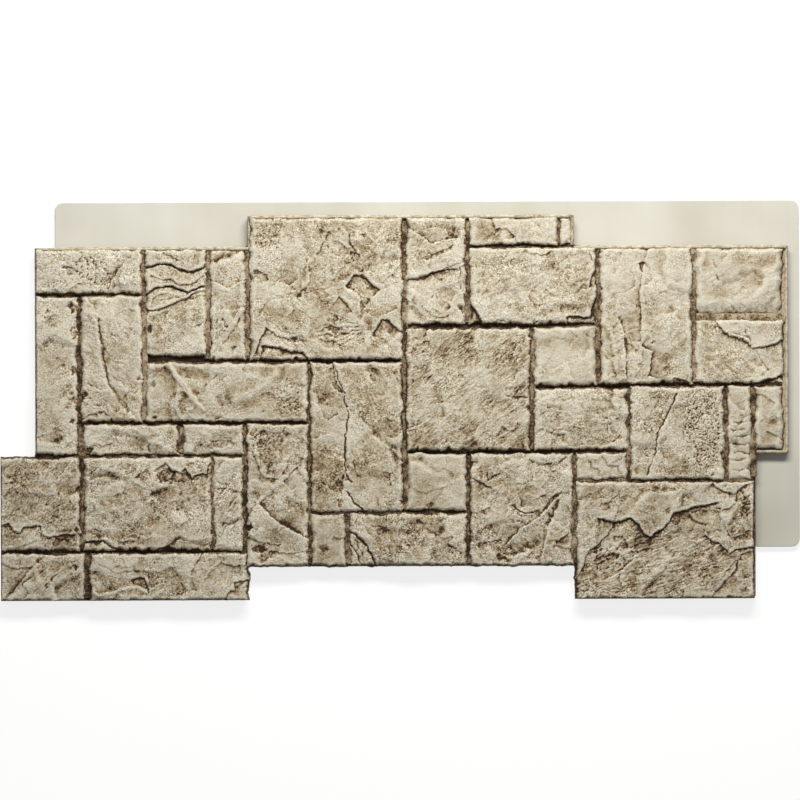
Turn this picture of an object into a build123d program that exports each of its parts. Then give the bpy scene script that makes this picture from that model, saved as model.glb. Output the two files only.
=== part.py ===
from build123d import *
import os

os.makedirs("parts", exist_ok=True)

# A faux stone wall panel, moulded in one piece of dense foam.
# A thin flat sheet carries a thicker stone field. The field is shifted to the left
# and down, so the sheet shows as a lap at the top and right, and the field hangs
# over at the left and bottom to cover the laps of the next panels.
# Lengths are in millimetres. The back lies on z = 0 and the stones look up.

# Thicknesses, from the flat back to the highest stone face.
sheet_thickness = 8.0
lap_clearance = 0.5
bed_level = 18.0
stone_top = 31.75
high_drop = 2.0
middle_drop = 4.0
low_drop = 6.5
stone_root = 1.5

# Laps and stepped ends. The steps let neighbouring panels lock into each other.
side_lap = 17.8
top_lap = 22.0
end_step = 55.3
edge_step = 48.5
step_clearance = 3.5
left_cover = 30.0
bottom_cover = 80.0

# Edges of the moulding.
sheet_corner_radius = 13.0
sheet_edge_bevel = 1.2
field_corner_radius = 6.0
bed_edge_bevel = 3.0

# Joints between the stones, measured on the bed. The drafted sides open them upwards.
joint_width = 6.0
joint_width_level = 4.0
joint_width_broad = 10.0
right_lip = 7.5
top_lip = 2.5
open_edge = 0.6

# Stones: drafted sides, and eased corners and arrises round each face.
side_draft = 7.0
stone_arris = 2.2
ledge_slope = 25.0

# Stone widths along the top course, from the stepped left end to the right end.
corner_cap_width = 169.0
stacked_width = 100.0
upright_width = 62.0
centre_width = 243.0
square_width = 99.0
long_width = 203.0
notched_width = 147.5
right_cap_width = 148.0

# Widths that place the other upright joints.
left_upright_width = 68.0
outer_left_shift = 4.0
foot_left_shift = 8.0
low_strip_width = 57.0
lower_narrow_shift = 5.5
wedge_shift = 6.0
wedge_width = 96.0
base_small_width = 59.0
slate_width = 99.5
long_cap_width = 142.0
crossed_width = 165.0
rimmed_overlap = 46.5
pitted_overlap = 50.0
wrinkled_width = 42.0

# Course heights, from the lowest edge of the field to its top edge.
foot_height = 76.0
lower_height = 149.5
low_strip_height = 50.5
ridge_height = 96.0
stacked_rise = 5.0
stacked_height = 99.0
corner_cap_height = 73.5
slate_rise = 55.5
right_under_rise = 12.5
right_drop = 36.0
rimmed_drop = 6.5
slate_foot_rise = 5.5
folded_height = 40.5
tall_foot_height = 89.5

# Overall sizes that follow from the stones.
coverage_length = (
    corner_cap_width + stacked_width + upright_width + centre_width
    + square_width + long_width + notched_width + right_cap_width
)
coverage_height = (
    foot_height + lower_height + low_strip_height + ridge_height
    + stacked_rise + stacked_height + corner_cap_height
)
panel_length = end_step + coverage_length + side_lap
panel_height = coverage_height + edge_step + top_lap

# Upright joint lines, from left to right.
left_low = -panel_length / 2
left_high = left_low + end_step
x_left_upright = left_high + left_upright_width
x_outer_left = x_left_upright + outer_left_shift
x_foot_left = x_outer_left + foot_left_shift
x_corner_cap = left_high + corner_cap_width
x_low_strip = x_corner_cap + low_strip_width
x_stacked = x_corner_cap + stacked_width
x_lower_narrow = x_stacked + lower_narrow_shift
x_step_left = x_stacked + upright_width
x_wedge = x_step_left - wedge_shift
x_tall = x_step_left + wedge_width
x_base_small = x_tall + base_small_width
x_centre = x_step_left + centre_width
x_square = x_centre + square_width
x_slate = x_square + slate_width
x_long_cap = x_square + long_cap_width
x_step_right = x_square + crossed_width
x_long = x_square + long_width
x_pitted = x_long + rimmed_overlap
x_notched = x_long + notched_width
x_wrinkled = x_notched + pitted_overlap
x_right_small = x_wrinkled + wrinkled_width
right_high = x_notched + right_cap_width
right_low = right_high - end_step + step_clearance

# Level joint lines, from the bottom up.
bottom_side = -panel_height / 2
y_foot = bottom_side + foot_height
y_step = y_foot + lower_height
y_slate_foot = y_step + slate_foot_rise
y_folded = y_step - folded_height
y_tall_foot = y_step - tall_foot_height
y_low_strip = y_step + low_strip_height
y_centre = y_low_strip + ridge_height
y_stacked = y_centre + stacked_rise
y_corner_cap = y_stacked + stacked_height
y_slate = y_centre + slate_rise
y_right_under = y_slate + right_under_rise
y_right = y_centre - right_drop
y_rimmed = y_right - rimmed_drop
top_side = y_corner_cap + corner_cap_height
top_middle = top_side + edge_step
bottom_middle = top_middle - coverage_height + step_clearance

# The sheet's own edges.
sheet_left = left_high + left_cover
sheet_right = right_high + side_lap
sheet_top = top_middle + top_lap
sheet_bottom = bottom_side + bottom_cover

# How far each kind of edge is set back from its line.
half_joint = joint_width / 2
half_level = joint_width_level / 2
half_broad = joint_width_broad / 2

# Face heights of the stones above the back.
proud = stone_top
high = stone_top - high_drop
middle = stone_top - middle_drop
low = stone_top - low_drop

# Ledge heights: how far a split facet lies below the stone's own face at its ledge.
shallow_split = 1.8
even_split = 3.0
deep_split = 4.8
lowest_split = 6.4

# How fast a facet climbs back to the face, as a rise for each millimetre away.
gentle_climb = 0.02
steady_climb = 0.045
steep_climb = 0.11
worn_fall = 0.5

# Clear height of the cut above a facet, which takes it out through the face.
cut_height = 16.0

# Dishes: round hollows where a chip or a pebble came out.
small_dish = 11.0
middle_dish = 20.0
broad_dish = 54.0
dish_depth = 3.0
bowl_depth = 2.4

# Crests: narrow and broad folds that stand up from a face.
narrow_crest = 5.5
broad_crest = 12.0
crest_height = 1.6

# A facet is given as its ledge line, its depth, and its climb to the right and
# upwards. Places on a stone run from 0 at its left or lower edge to 1 at its right
# or upper edge. These two places lie just outside the stone.
before = -0.3
beyond = 1.3

corner_cap_facets = [
    ([(before, 0.60), (0.12, 0.68), (0.21, 0.88), (0.30, beyond), (0.93, beyond), (0.75, 0.38),
      (0.69, before), (before, before)], shallow_split, -gentle_climb, 0),
]
curved_facets = [
    ([(0.20, beyond), (0.28, 0.92), (0.33, 0.62), (0.42, 0.37), (0.58, 0.18), (0.76, 0.08), (0.95, before),
      (beyond, before), (beyond, beyond)], deep_split, steady_climb, 0),
    ([(before, 0.03), (0.17, 0.05), (0.40, 0.09), (0.45, before), (before, before)], shallow_split, 0, 0),
]
stacked_facets = [
    ([(before, 0.83), (0.17, 0.87), (0.40, 0.86), (0.60, 0.81), (0.79, 0.78), (0.95, 0.83),
      (beyond, 0.93), (beyond, before), (before, before)], even_split, 0, -steady_climb),
    ([(before, 0.56), (0.14, 0.63), (0.32, 0.65), (0.54, 0.63), (0.70, 0.59), (0.84, 0.63),
      (beyond, 0.68), (beyond, before), (before, before)], deep_split, 0, -steep_climb),
    ([(before, 0.46), (0.07, 0.42), (0.25, 0.44), (0.44, 0.49), (0.65, 0.53), (0.82, 0.59),
      (beyond, 0.61), (beyond, before), (before, before)], lowest_split, 0, -gentle_climb),
]
narrow_facets = [
    ([(before, 0.72), (0.45, 0.67), (0.80, 0.70), (beyond, 0.76), (beyond, beyond), (before, beyond)],
     shallow_split, 0, gentle_climb),
]
centre_facets = [
    ([(0.04, before), (0.05, 0.09), (0.16, 0.08), (0.26, 0.05), (0.35, 0.04), (0.40, before)],
     lowest_split, 0, 0),
    ([(before, before), (0.01, 0.03), (0.07, 0.16), (0.095, 0.21), (0.16, 0.16), (0.24, 0.14),
      (0.31, 0.15), (0.46, before)], even_split, gentle_climb, -gentle_climb),
    ([(0.62, 0.47), (0.66, 0.54), (0.68, 0.59), (0.745, 0.60), (0.80, 0.53), (0.87, 0.47), (0.86, 0.20),
      (0.60, 0.25)], even_split, 0, -steady_climb),
    ([(0.79, 0.08), (0.83, 0.21), (0.865, 0.26), (0.92, 0.27), (0.96, 0.22), (beyond, 0.17),
      (beyond, 0.04)], even_split, 0, -steady_climb),
    ([(0.40, 0.66), (0.475, 0.82), (0.51, 0.90), (0.58, 0.93), (0.75, 0.80), (0.62, 0.60)],
     shallow_split, steady_climb, 0),
    ([(before, 0.63), (0.07, 0.61), (0.105, 0.57), (0.12, 0.53), (0.10, 0.40), (before, 0.45)],
     shallow_split, 0, -steady_climb),
    ([(0.27, 0.36), (0.32, 0.47), (0.39, 0.54), (0.385, 0.67), (0.35, 0.72), (0.46, 0.78), (0.55, 0.60),
      (0.45, 0.35)], shallow_split, steady_climb, 0),
]
square_facets = [
    ([(before, 0.38), (0.21, 0.42), (0.43, 0.46), (0.66, 0.49), (0.93, 0.50), (beyond, 0.56),
      (beyond, before), (before, before)], even_split, 0, -gentle_climb),
    ([(0.95, 0.80), (0.68, 0.78), (0.43, 0.73), (0.23, 0.82), (0.02, 0.89), (0.02, beyond), (0.95, beyond)],
     shallow_split, 0, 0),
    ([(0.43, 0.46), (0.37, 0.51), (0.39, 0.66), (0.52, 0.67), (0.70, 0.70), (beyond, 0.78), (beyond, 0.56),
      (0.93, 0.50)], shallow_split, 0, 0),
]
long_cap_facets = [
    ([(0.24, beyond), (0.25, 0.85), (0.28, 0.55), (0.44, 0.55), (0.48, 0.35), (0.58, before),
      (before, before), (before, beyond)], shallow_split, -gentle_climb, 0),
]
long_facets = [
    ([(0.43, 1.01), (0.48, 0.94), (0.58, 0.93), (0.66, 0.99), (0.62, 0.70), (0.47, 0.70)],
     shallow_split, 0, -steep_climb),
    ([(0.75, before), (0.80, 0.06), (0.96, 0.04), (0.975, 0.16), (beyond, 0.40), (beyond, before)],
     even_split, 0, 0),
    ([(before, 0.34), (0.03, 0.20), (0.09, before), (before, before)], deep_split, 0, 0),
    ([(0.94, 0.40), (0.967, 0.56), (1.04, 0.80), (beyond, 0.80), (beyond, 0.40)], shallow_split, 0, 0),
]
notched_facets = [
    ([(0.34, 0.86), (0.40, 0.885), (0.50, 0.915), (0.48, 0.80), (0.44, 0.67), (0.45, 0.48), (0.43, 0.28),
      (0.30, 0.45), (0.32, 0.75)], even_split, -steady_climb, 0),
    ([(0.27, before), (0.25, 0.24), (0.245, 0.35), (0.165, 0.50), (0.36, 0.42), (0.44, 0.27),
      (0.44, before)], shallow_split, steady_climb, 0),
]
right_cap_facets = [
    ([(before, 0.12), (0.40, 0.07), (beyond, 0.12), (beyond, before), (before, before)], 0, 0, worn_fall),
]
right_under_facets = [
    ([(0.24, beyond), (0.29, 0.91), (0.36, 0.79), (0.45, 0.75), (0.55, 0.68), (0.64, 0.54), (0.80, 0.55),
      (0.90, 0.61), (beyond, 0.75), (beyond, before), (before, before), (before, beyond)],
     even_split, -gentle_climb, -gentle_climb),
    ([(0.40, before), (0.71, -0.05), (0.87, 0.02), (beyond, 0.20), (beyond, before)], lowest_split, 0, 0),
]
slate_facets = [
    ([(0.26, 0.39), (0.36, 0.45), (0.48, 0.51), (0.545, 0.58), (0.75, 0.45), (0.60, 0.25), (0.40, 0.20)],
     shallow_split, steady_climb, -steady_climb),
    ([(0.60, 0.92), (0.72, 0.96), (0.88, 0.80), (0.82, 0.64), (0.66, 0.70)],
     shallow_split, 0, -steep_climb),
    ([(0.70, 0.20), (0.83, 0.15), (0.91, 0.22), (beyond, 0.10), (beyond, before), (0.60, before)],
     shallow_split, 0, -gentle_climb),
]
rimmed_facets = [
    ([(before, 0.83), (0.27, 0.86), (0.61, 0.85), (0.86, 0.83), (beyond, 0.78), (beyond, before),
      (before, before)], shallow_split, 0, -gentle_climb),
]
pitted_facets = [
    ([(0.52, beyond), (0.46, 0.85), (0.38, 0.70), (0.28, 0.42), (0.25, 0.25), (0.15, before),
      (beyond, before), (beyond, beyond)], shallow_split, gentle_climb, 0),
]
wrinkled_facets = [
    ([(before, 0.95), (0.20, 0.87), (0.40, 0.76), (0.75, 0.75), (beyond, 0.85), (beyond, beyond),
      (before, beyond)], shallow_split, 0, 0),
]
right_small_facets = [
    ([(before, 0.93), (0.36, 0.88), (0.56, 0.81), (0.85, 0.72), (beyond, 0.55), (beyond, before),
      (before, before)], shallow_split, 0, -gentle_climb),
]
ridge_facets = [
    ([(0.18, 0.65), (0.19, 0.45), (0.17, 0.18), (0.20, before), (0.42, before), (0.33, 0.25), (0.24, 0.52)],
     even_split, gentle_climb, 0),
    ([(0.13, beyond), (0.19, 0.71), (0.24, 0.52), (0.33, 0.25), (0.36, 0.55), (0.44, 0.75), (0.46, beyond)],
     even_split, gentle_climb, 0),
]
wedge_facets = [
    ([(beyond, 0.12), (0.86, 0.21), (0.68, 0.25), (0.46, 0.30), (0.27, 0.38), (0.14, 0.45), (0.25, 0.55),
      (0.60, 0.62), (beyond, 0.60)], even_split, 0, gentle_climb),
    ([(0.57, 0.58), (0.66, 0.63), (0.75, 0.67), (0.84, 0.71), (0.91, 0.67), (beyond, 0.50), (beyond, 0.30),
      (0.60, 0.40)], shallow_split, 0, -gentle_climb),
    ([(before, 0.22), (0.09, 0.165), (0.27, 0.14), (0.57, 0.13), (0.62, before), (before, before)],
     even_split, 0, 0),
]
tall_facets = [
    ([(0.20, beyond), (0.25, 0.92), (0.35, 0.79), (0.40, 0.61), (0.37, 0.41), (0.36, 0.23), (0.39, 0.14),
      (0.47, 0.07), (0.60, before), (before, before), (before, beyond)], deep_split, -steady_climb, 0),
    ([(beyond, 0.75), (0.94, 0.88), (0.89, 0.94), (0.85, beyond), (beyond, beyond)], shallow_split, 0, 0),
    ([(0.77, 0.45), (0.875, 0.42), (0.94, 0.39), (beyond, 0.30), (beyond, 0.15), (0.80, 0.15)],
     shallow_split, 0, -steady_climb),
]
crossed_facets = [
    ([(0.39, 0.55), (0.45, 0.495), (0.53, 0.47), (0.65, 0.48), (0.71, 0.52), (0.76, 0.59), (0.83, 0.65),
      (beyond, 0.67), (beyond, 0.30), (0.50, 0.20), (0.30, 0.30)], shallow_split, 0, -gentle_climb),
    ([(0.85, 0.55), (0.66, 0.36), (0.45, 0.17), (0.36, before), (0.68, before), (0.74, 0.15), (0.80, 0.38)],
     even_split, 0, 0),
    ([(0.58, 0.97), (0.65, 0.935), (0.715, 0.915), (0.82, 0.935), (0.80, 0.75), (0.60, 0.75)],
     shallow_split, 0, -steep_climb),
    ([(before, 0.80), (0.08, 0.76), (0.20, 0.70), (0.28, 0.60), (0.10, 0.50), (before, 0.55)],
     shallow_split, 0, -gentle_climb),
]
folded_facets = [
    ([(0.54, 0.92), (0.67, 0.58), (0.88, 0.50), (1.0, 0.08), (1.0, before), (0.10, before), (0.30, 0.60)],
     shallow_split, 0, 0),
]
plateau_facets = [
    ([(before, 0.74), (0.09, 0.70), (0.22, 0.68), (0.40, 0.30), (0.20, before), (before, before)],
     shallow_split, 0, -gentle_climb),
    ([(0.20, 0.67), (0.25, 0.675), (0.31, 0.695), (0.354, 0.63), (0.415, 0.54), (0.46, 0.587),
      (0.53, 0.695), (0.60, 0.77), (0.72, 0.817), (0.83, 0.85), (beyond, 0.88), (beyond, before),
      (0.01, before), (0.01, 0.22), (0.04, 0.35), (0.11, 0.465), (0.18, 0.57)],
     deep_split, 0, -gentle_climb),
    ([(0.73, 0.566), (0.776, 0.505), (0.83, 0.45), (0.88, 0.39), (0.91, 0.425), (beyond, 0.46),
      (beyond, 0.10), (0.60, 0.10), (0.60, 0.40)], lowest_split, 0, -steady_climb),
    ([(0.74, before), (0.80, 0.07), (0.90, 0.235), (0.91, 0.316), (0.935, 0.38), (beyond, 0.45),
      (beyond, before)], lowest_split, 0, 0),
    ([(0.79, 1.0), (0.81, 0.95), (0.865, 0.93), (0.90, 0.91), (0.925, 0.965), (1.0, 1.0), (beyond, 1.0),
      (beyond, 0.80), (0.80, 0.85)], even_split, 0, -steep_climb),
]
outer_left_facets = [
    ([(before, 0.24), (0.12, 0.27), (0.16, 0.19), (0.25, 0.165), (0.30, 0.227), (0.39, 0.243),
      (0.55, 0.235), (0.57, 0.14), (0.63, 0.12), (0.75, 0.14), (beyond, 0.16), (beyond, before),
      (before, before)], even_split, 0, -steady_climb),
]
lower_left_facets = [
    ([(0.545, 0.86), (0.596, 0.91), (0.646, 0.965), (0.695, 0.87), (0.77, 0.84), (0.81, 0.91), (0.87, 0.80),
      (0.976, 0.83), (beyond, 0.98), (beyond, 0.50), (0.50, 0.60)], even_split, 0, -steep_climb),
    ([(before, 0.76), (0.17, 0.77), (0.285, 0.76), (0.33, 0.69), (0.38, 0.615), (0.51, 0.60), (0.53, 0.80),
      (0.50, beyond), (before, beyond)], shallow_split, 0, gentle_climb),
    ([(before, 0.06), (0.15, 0.07), (0.22, 0.01), (0.28, before), (before, before)], even_split, 0, 0),
]
lower_narrow_facets = [
    ([(before, 0.67), (0.50, 0.70), (beyond, 0.64), (beyond, before), (before, before)],
     shallow_split, 0, -gentle_climb),
]
foot_left_facets = [
    ([(before, 0.90), (0.09, 0.76), (0.18, 0.68), (0.40, 0.77), (0.46, 0.80), (0.10, before),
      (before, before)], shallow_split, 0, -gentle_climb),
]
foot_long_facets = [
    ([(0.71, beyond), (0.66, 0.81), (0.64, 0.52), (0.67, before), (before, before), (before, beyond)],
     shallow_split, -gentle_climb, 0),
    ([(0.84, before), (0.865, 0.12), (0.91, 0.19), (0.92, 0.38), (0.97, 0.43), (beyond, 0.50),
      (beyond, before)], even_split, 0, 0),
]
base_long_facets = [
    ([(before, 0.80), (0.00, 0.73), (0.05, 0.64), (0.13, 0.43), (0.19, 0.15), (0.245, before),
      (0.11, before), (0.06, 0.15), (0.02, 0.30), (before, 0.50)], shallow_split, 0, 0),
]

# Dishes, each with its place on the stone, its width and its depth.
left_upright_dishes = [
    ((0.93, 0.93), middle_dish, dish_depth),
    ((0.96, 0.53), small_dish, dish_depth),
    ((0.93, 0.33), middle_dish, dish_depth),
    ((0.90, 0.20), small_dish, dish_depth),
]
curved_dishes = [((0.03, 0.17), middle_dish, dish_depth), ((0.95, 0.34), small_dish, dish_depth)]
stacked_dishes = [((0.03, 0.24), small_dish, dish_depth), ((1.0, 0.17), small_dish, dish_depth)]
centre_dishes = [((0.10, 0.84), broad_dish, bowl_depth)]
square_dishes = [((0.13, 0.20), middle_dish, dish_depth), ((1.0, 0.12), small_dish, dish_depth)]
notched_dishes = [((0.90, 0.0), middle_dish, dish_depth), ((0.12, 0.82), small_dish, dish_depth)]
slate_dishes = [((1.0, 0.35), small_dish, dish_depth)]
smooth_dishes = [((0.07, -0.02), small_dish, dish_depth), ((0.57, -0.02), small_dish, dish_depth)]
rimmed_dishes = [((0.67, 0.65), middle_dish, dish_depth), ((1.0, 0.89), middle_dish, dish_depth)]
pitted_dishes = [((0.75, 0.50), broad_dish, bowl_depth)]
ridge_dishes = [((0.88, 0.40), broad_dish, bowl_depth), ((0.03, 0.60), small_dish, dish_depth)]
wedge_dishes = [((0.34, 0.82), broad_dish, bowl_depth), ((0.0, 0.26), small_dish, dish_depth)]
tall_dishes = [((1.0, 0.60), small_dish, dish_depth), ((1.0, 0.27), small_dish, dish_depth)]
crossed_dishes = [((0.37, 0.05), middle_dish, dish_depth)]
plateau_dishes = [((0.96, 0.06), middle_dish, dish_depth), ((0.96, 0.82), middle_dish, dish_depth)]
lower_left_dishes = [((0.21, 0.34), middle_dish, bowl_depth), ((1.0, 0.16), small_dish, dish_depth)]
foot_long_dishes = [((0.265, 0.40), middle_dish, bowl_depth), ((0.35, 0.48), small_dish, bowl_depth)]
base_small_dishes = [((0.27, 0.30), middle_dish, bowl_depth)]

# Crests, each with its two ends on the stone and the radius of its fold.
ridge_crests = [
    ((0.14, 0.90), (0.33, 0.25), narrow_crest),
    ((0.54, 0.37), (0.78, 0.80), broad_crest),
]
crossed_crests = [
    ((0.87, 0.60), (0.36, 0.17), narrow_crest),
    ((0.87, 0.58), (0.74, 0.12), narrow_crest),
]


def panel_outline():
    """The stepped outline of the stone field, anticlockwise from its lower left corner."""
    notch_left = x_step_left - step_clearance / 2
    notch_right = x_step_right + step_clearance / 2
    return [
        (left_low, bottom_side),
        (notch_left, bottom_side),
        (notch_left, bottom_middle),
        (notch_right, bottom_middle),
        (notch_right, bottom_side),
        (right_low, bottom_side),
        (right_low, y_step),
        (right_high, y_step),
        (right_high, top_side),
        (x_step_right, top_side),
        (x_step_right, top_middle),
        (x_step_left, top_middle),
        (x_step_left, top_side),
        (left_high, top_side),
        (left_high, y_step - step_clearance / 2),
        (left_low, y_step - step_clearance / 2),
    ]


def backing():
    """The thin sheet, the stone field's bed and the hollow under its overhang."""
    with BuildPart() as back:
        with BuildSketch(Plane.XY):
            with Locations(((sheet_left + sheet_right) / 2, (sheet_bottom + sheet_top) / 2)):
                RectangleRounded(sheet_right - sheet_left, sheet_top - sheet_bottom, sheet_corner_radius)
        extrude(amount=sheet_thickness)
        chamfer(back.faces().sort_by(Axis.Z)[-1].edges(), length=sheet_edge_bevel)

        with BuildSketch(Plane.XY.offset(sheet_thickness + lap_clearance)) as field:
            with BuildLine():
                Polyline(*panel_outline(), close=True)
            make_face()
            fillet(field.vertices(), radius=field_corner_radius)
        extrude(amount=bed_level - sheet_thickness - lap_clearance)
        lip_edges = back.faces().sort_by(Axis.Z)[-1].edges()
        chamfer(lip_edges, length=bed_edge_bevel)

        # The bed is solid down to the sheet wherever the sheet lies behind it.
        with BuildSketch(Plane.XY.offset(sheet_thickness / 2)) as core:
            with BuildLine():
                Polyline(*panel_outline(), close=True)
            make_face()
            fillet(core.vertices(), radius=field_corner_radius)
            with Locations(((sheet_left + sheet_right) / 2, (sheet_bottom + sheet_top) / 2)):
                RectangleRounded(sheet_right - sheet_left, sheet_top - sheet_bottom, sheet_corner_radius,
                                 mode=Mode.INTERSECT)
        extrude(amount=sheet_thickness)
    return back.part


def facet_plane(places, height, climb_right, climb_up):
    """The plane of a split facet, through the middle of its ledge at that height."""
    middle_x = sum(x for x, _ in places) / len(places)
    middle_y = sum(y for _, y in places) / len(places)
    return Plane(
        origin=(middle_x, middle_y, height),
        x_dir=(1, 0, climb_right),
        z_dir=(-climb_right, -climb_up, 1),
    )


def stone(left, right, bottom, top, face, facets=(), dishes=(), crests=()):
    """One stone: a drafted block with eased arrises, its split facets, dishes and crests."""
    width = right - left
    height = top - bottom

    with BuildPart() as block:
        with BuildSketch(Plane.XY.offset(bed_level - stone_root)):
            with Locations(((left + right) / 2, (bottom + top) / 2)):
                Rectangle(width, height)
        extrude(amount=face - bed_level + stone_root, taper=side_draft)
        root_edges = block.faces().sort_by(Axis.Z)[0].edges()
        chamfer(block.edges() - root_edges, length=stone_arris)

        # Split facets: each is cut down to its own plane, with a sloping ledge.
        for line, depth, climb_right, climb_up in facets:
            on_stone = [(u, v) for u, v in line if 0 <= u <= 1 and 0 <= v <= 1]
            places = [(left + u * width, bottom + v * height) for u, v in on_stone]
            floor = facet_plane(places, face - depth, climb_right, climb_up)
            corners = [floor.to_local_coords(Vector(left + u * width, bottom + v * height, face - depth))
                       for u, v in line]
            with BuildSketch(floor):
                with BuildLine():
                    Polyline(*[(corner.X, corner.Y) for corner in corners], close=True)
                make_face()
            extrude(amount=cut_height, taper=-ledge_slope, mode=Mode.SUBTRACT)

        # Dishes: the underside of a ball that touches the face over the dish's width.
        for (u, v), dish_width, depth in dishes:
            ball_radius = dish_width**2 / (8 * depth) + depth / 2
            with Locations((left + u * width, bottom + v * height, face - depth + ball_radius)):
                Sphere(ball_radius, mode=Mode.SUBTRACT)

        # Crests: round rods with domed ends, sunk so that only the fold shows.
        for start, end, rod_radius in crests:
            level = face + crest_height - rod_radius
            first = Vector(left + start[0] * width, bottom + start[1] * height, level)
            last = Vector(left + end[0] * width, bottom + end[1] * height, level)
            with BuildSketch(Plane(origin=first, z_dir=last - first)):
                Circle(rod_radius)
            extrude(amount=(last - first).length)
            with Locations(first, last):
                Sphere(rod_radius)
    return block.part


def stones():
    """Every stone of the field, course by course from the top left."""
    # Faces start half a joint from their line, or close to it on an open edge.
    left_end = left_high + open_edge
    far_left = left_low + open_edge
    right_end = right_high - right_lip
    top_end = top_side - top_lip
    middle_end = top_middle - top_lip
    foot = bottom_side + open_edge
    middle_foot = bottom_middle + open_edge
    j = half_joint
    k = half_level
    b = half_broad
    return [
        # Upper course.
        stone(left_end, x_corner_cap - j, y_corner_cap + k, top_end, high, corner_cap_facets),
        stone(left_end, x_left_upright - j, y_step + k, y_corner_cap - k, middle, (), left_upright_dishes),
        stone(x_left_upright + j, x_corner_cap - j, y_low_strip + k, y_corner_cap - k, high,
              curved_facets, curved_dishes),
        stone(x_corner_cap + j, x_stacked - j, y_stacked + k, top_end, high,
              stacked_facets, stacked_dishes),
        stone(x_stacked + j, x_step_left - j, y_centre + k, top_end, middle, narrow_facets),
        stone(x_step_left + j, x_centre - j, y_centre + k, middle_end, proud,
              centre_facets, centre_dishes),
        stone(x_centre + j, x_square - j, y_slate + k, middle_end, high, square_facets, square_dishes),
        stone(x_square + j, x_long_cap - k / 2, top_side + k, middle_end, middle, long_cap_facets),
        stone(x_long_cap + k / 2, x_step_right - open_edge, top_side + k, middle_end, low),
        stone(x_square + j, x_long - j, y_slate + k, top_side - k, high, long_facets),
        stone(x_long + j, x_notched - j, y_right + k, top_end, proud, notched_facets, notched_dishes),
        stone(x_notched + j, right_end, y_right_under + k, top_end, middle, right_cap_facets),
        stone(x_notched + j, right_end, y_right + k, y_right_under - k, high, right_under_facets),
        # Middle courses.
        stone(x_centre + j, x_slate - j, y_slate_foot + k, y_slate - k, proud, slate_facets, slate_dishes),
        stone(x_slate + j, x_long - j, y_rimmed + k, y_slate - k, middle, (), smooth_dishes),
        stone(x_slate + j, x_pitted - b, y_slate_foot + k, y_rimmed - k, high,
              rimmed_facets, rimmed_dishes),
        stone(x_pitted + b, x_wrinkled - j, y_folded + k, y_right - k, high, pitted_facets, pitted_dishes),
        stone(x_wrinkled + j, x_right_small - j, y_folded + k, y_right - k, middle, wrinkled_facets),
        stone(x_right_small + j, right_end, y_step + k, y_right - k, low, right_small_facets),
        stone(x_corner_cap + j, x_tall - j, y_low_strip + k, y_centre - k, middle,
              ridge_facets, ridge_dishes, ridge_crests),
        stone(x_outer_left + j, x_low_strip - b, y_step + k, y_low_strip - k, middle),
        stone(x_low_strip + b, x_wedge - j, y_step + k, y_low_strip - k, middle),
        stone(x_wedge + j, x_tall - j, middle_foot, y_low_strip - k, high, wedge_facets, wedge_dishes),
        stone(x_tall + j, x_centre - j, y_tall_foot + k, y_centre - k, proud, tall_facets, tall_dishes),
        stone(x_centre + j, x_square - j, y_tall_foot + k, y_slate_foot - k, low),
        stone(x_square + j, x_step_right - j, middle_foot, y_slate_foot - k, middle,
              crossed_facets, crossed_dishes, crossed_crests),
        stone(x_step_right + j, x_pitted - b, y_folded + k, y_slate_foot - k, low, folded_facets),
        # Lower courses.
        stone(x_step_right + j, right_low - open_edge, foot, y_folded - k, proud,
              plateau_facets, plateau_dishes),
        stone(far_left, x_outer_left - j, y_foot + k, y_step - k, high, outer_left_facets),
        stone(x_outer_left + j, x_lower_narrow - j, y_foot + k, y_step - k, high,
              lower_left_facets, lower_left_dishes),
        stone(x_lower_narrow + j, x_wedge - j, y_foot + k, y_step - k, low, lower_narrow_facets),
        stone(far_left, x_foot_left - b, foot, y_foot - k, middle, foot_left_facets),
        stone(x_foot_left + b, x_step_left - open_edge, foot, y_foot - k, high,
              foot_long_facets, foot_long_dishes),
        stone(x_tall + j, x_base_small - j, middle_foot, y_tall_foot - k, middle, (), base_small_dishes),
        stone(x_base_small + j, x_square - j, middle_foot, y_tall_foot - k, high, base_long_facets),
    ]


with BuildPart() as panel:
    add(backing())
    add(stones())

panel.part.label = "faux_stone_panel"
export_step(panel.part, "parts/faux_stone_panel.step")
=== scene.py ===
# %% [markdown]
# # Faux stone wall panel
# The real thing is one moulding of dense foam. A thin flat sheet carries a thicker field of
# split stones with sunk joints, and the whole face has a cream paint with a brown wash.
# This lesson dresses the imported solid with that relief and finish. The solid gives the
# place and size of everything, so it is loaded first and its box is kept.

import math

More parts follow.
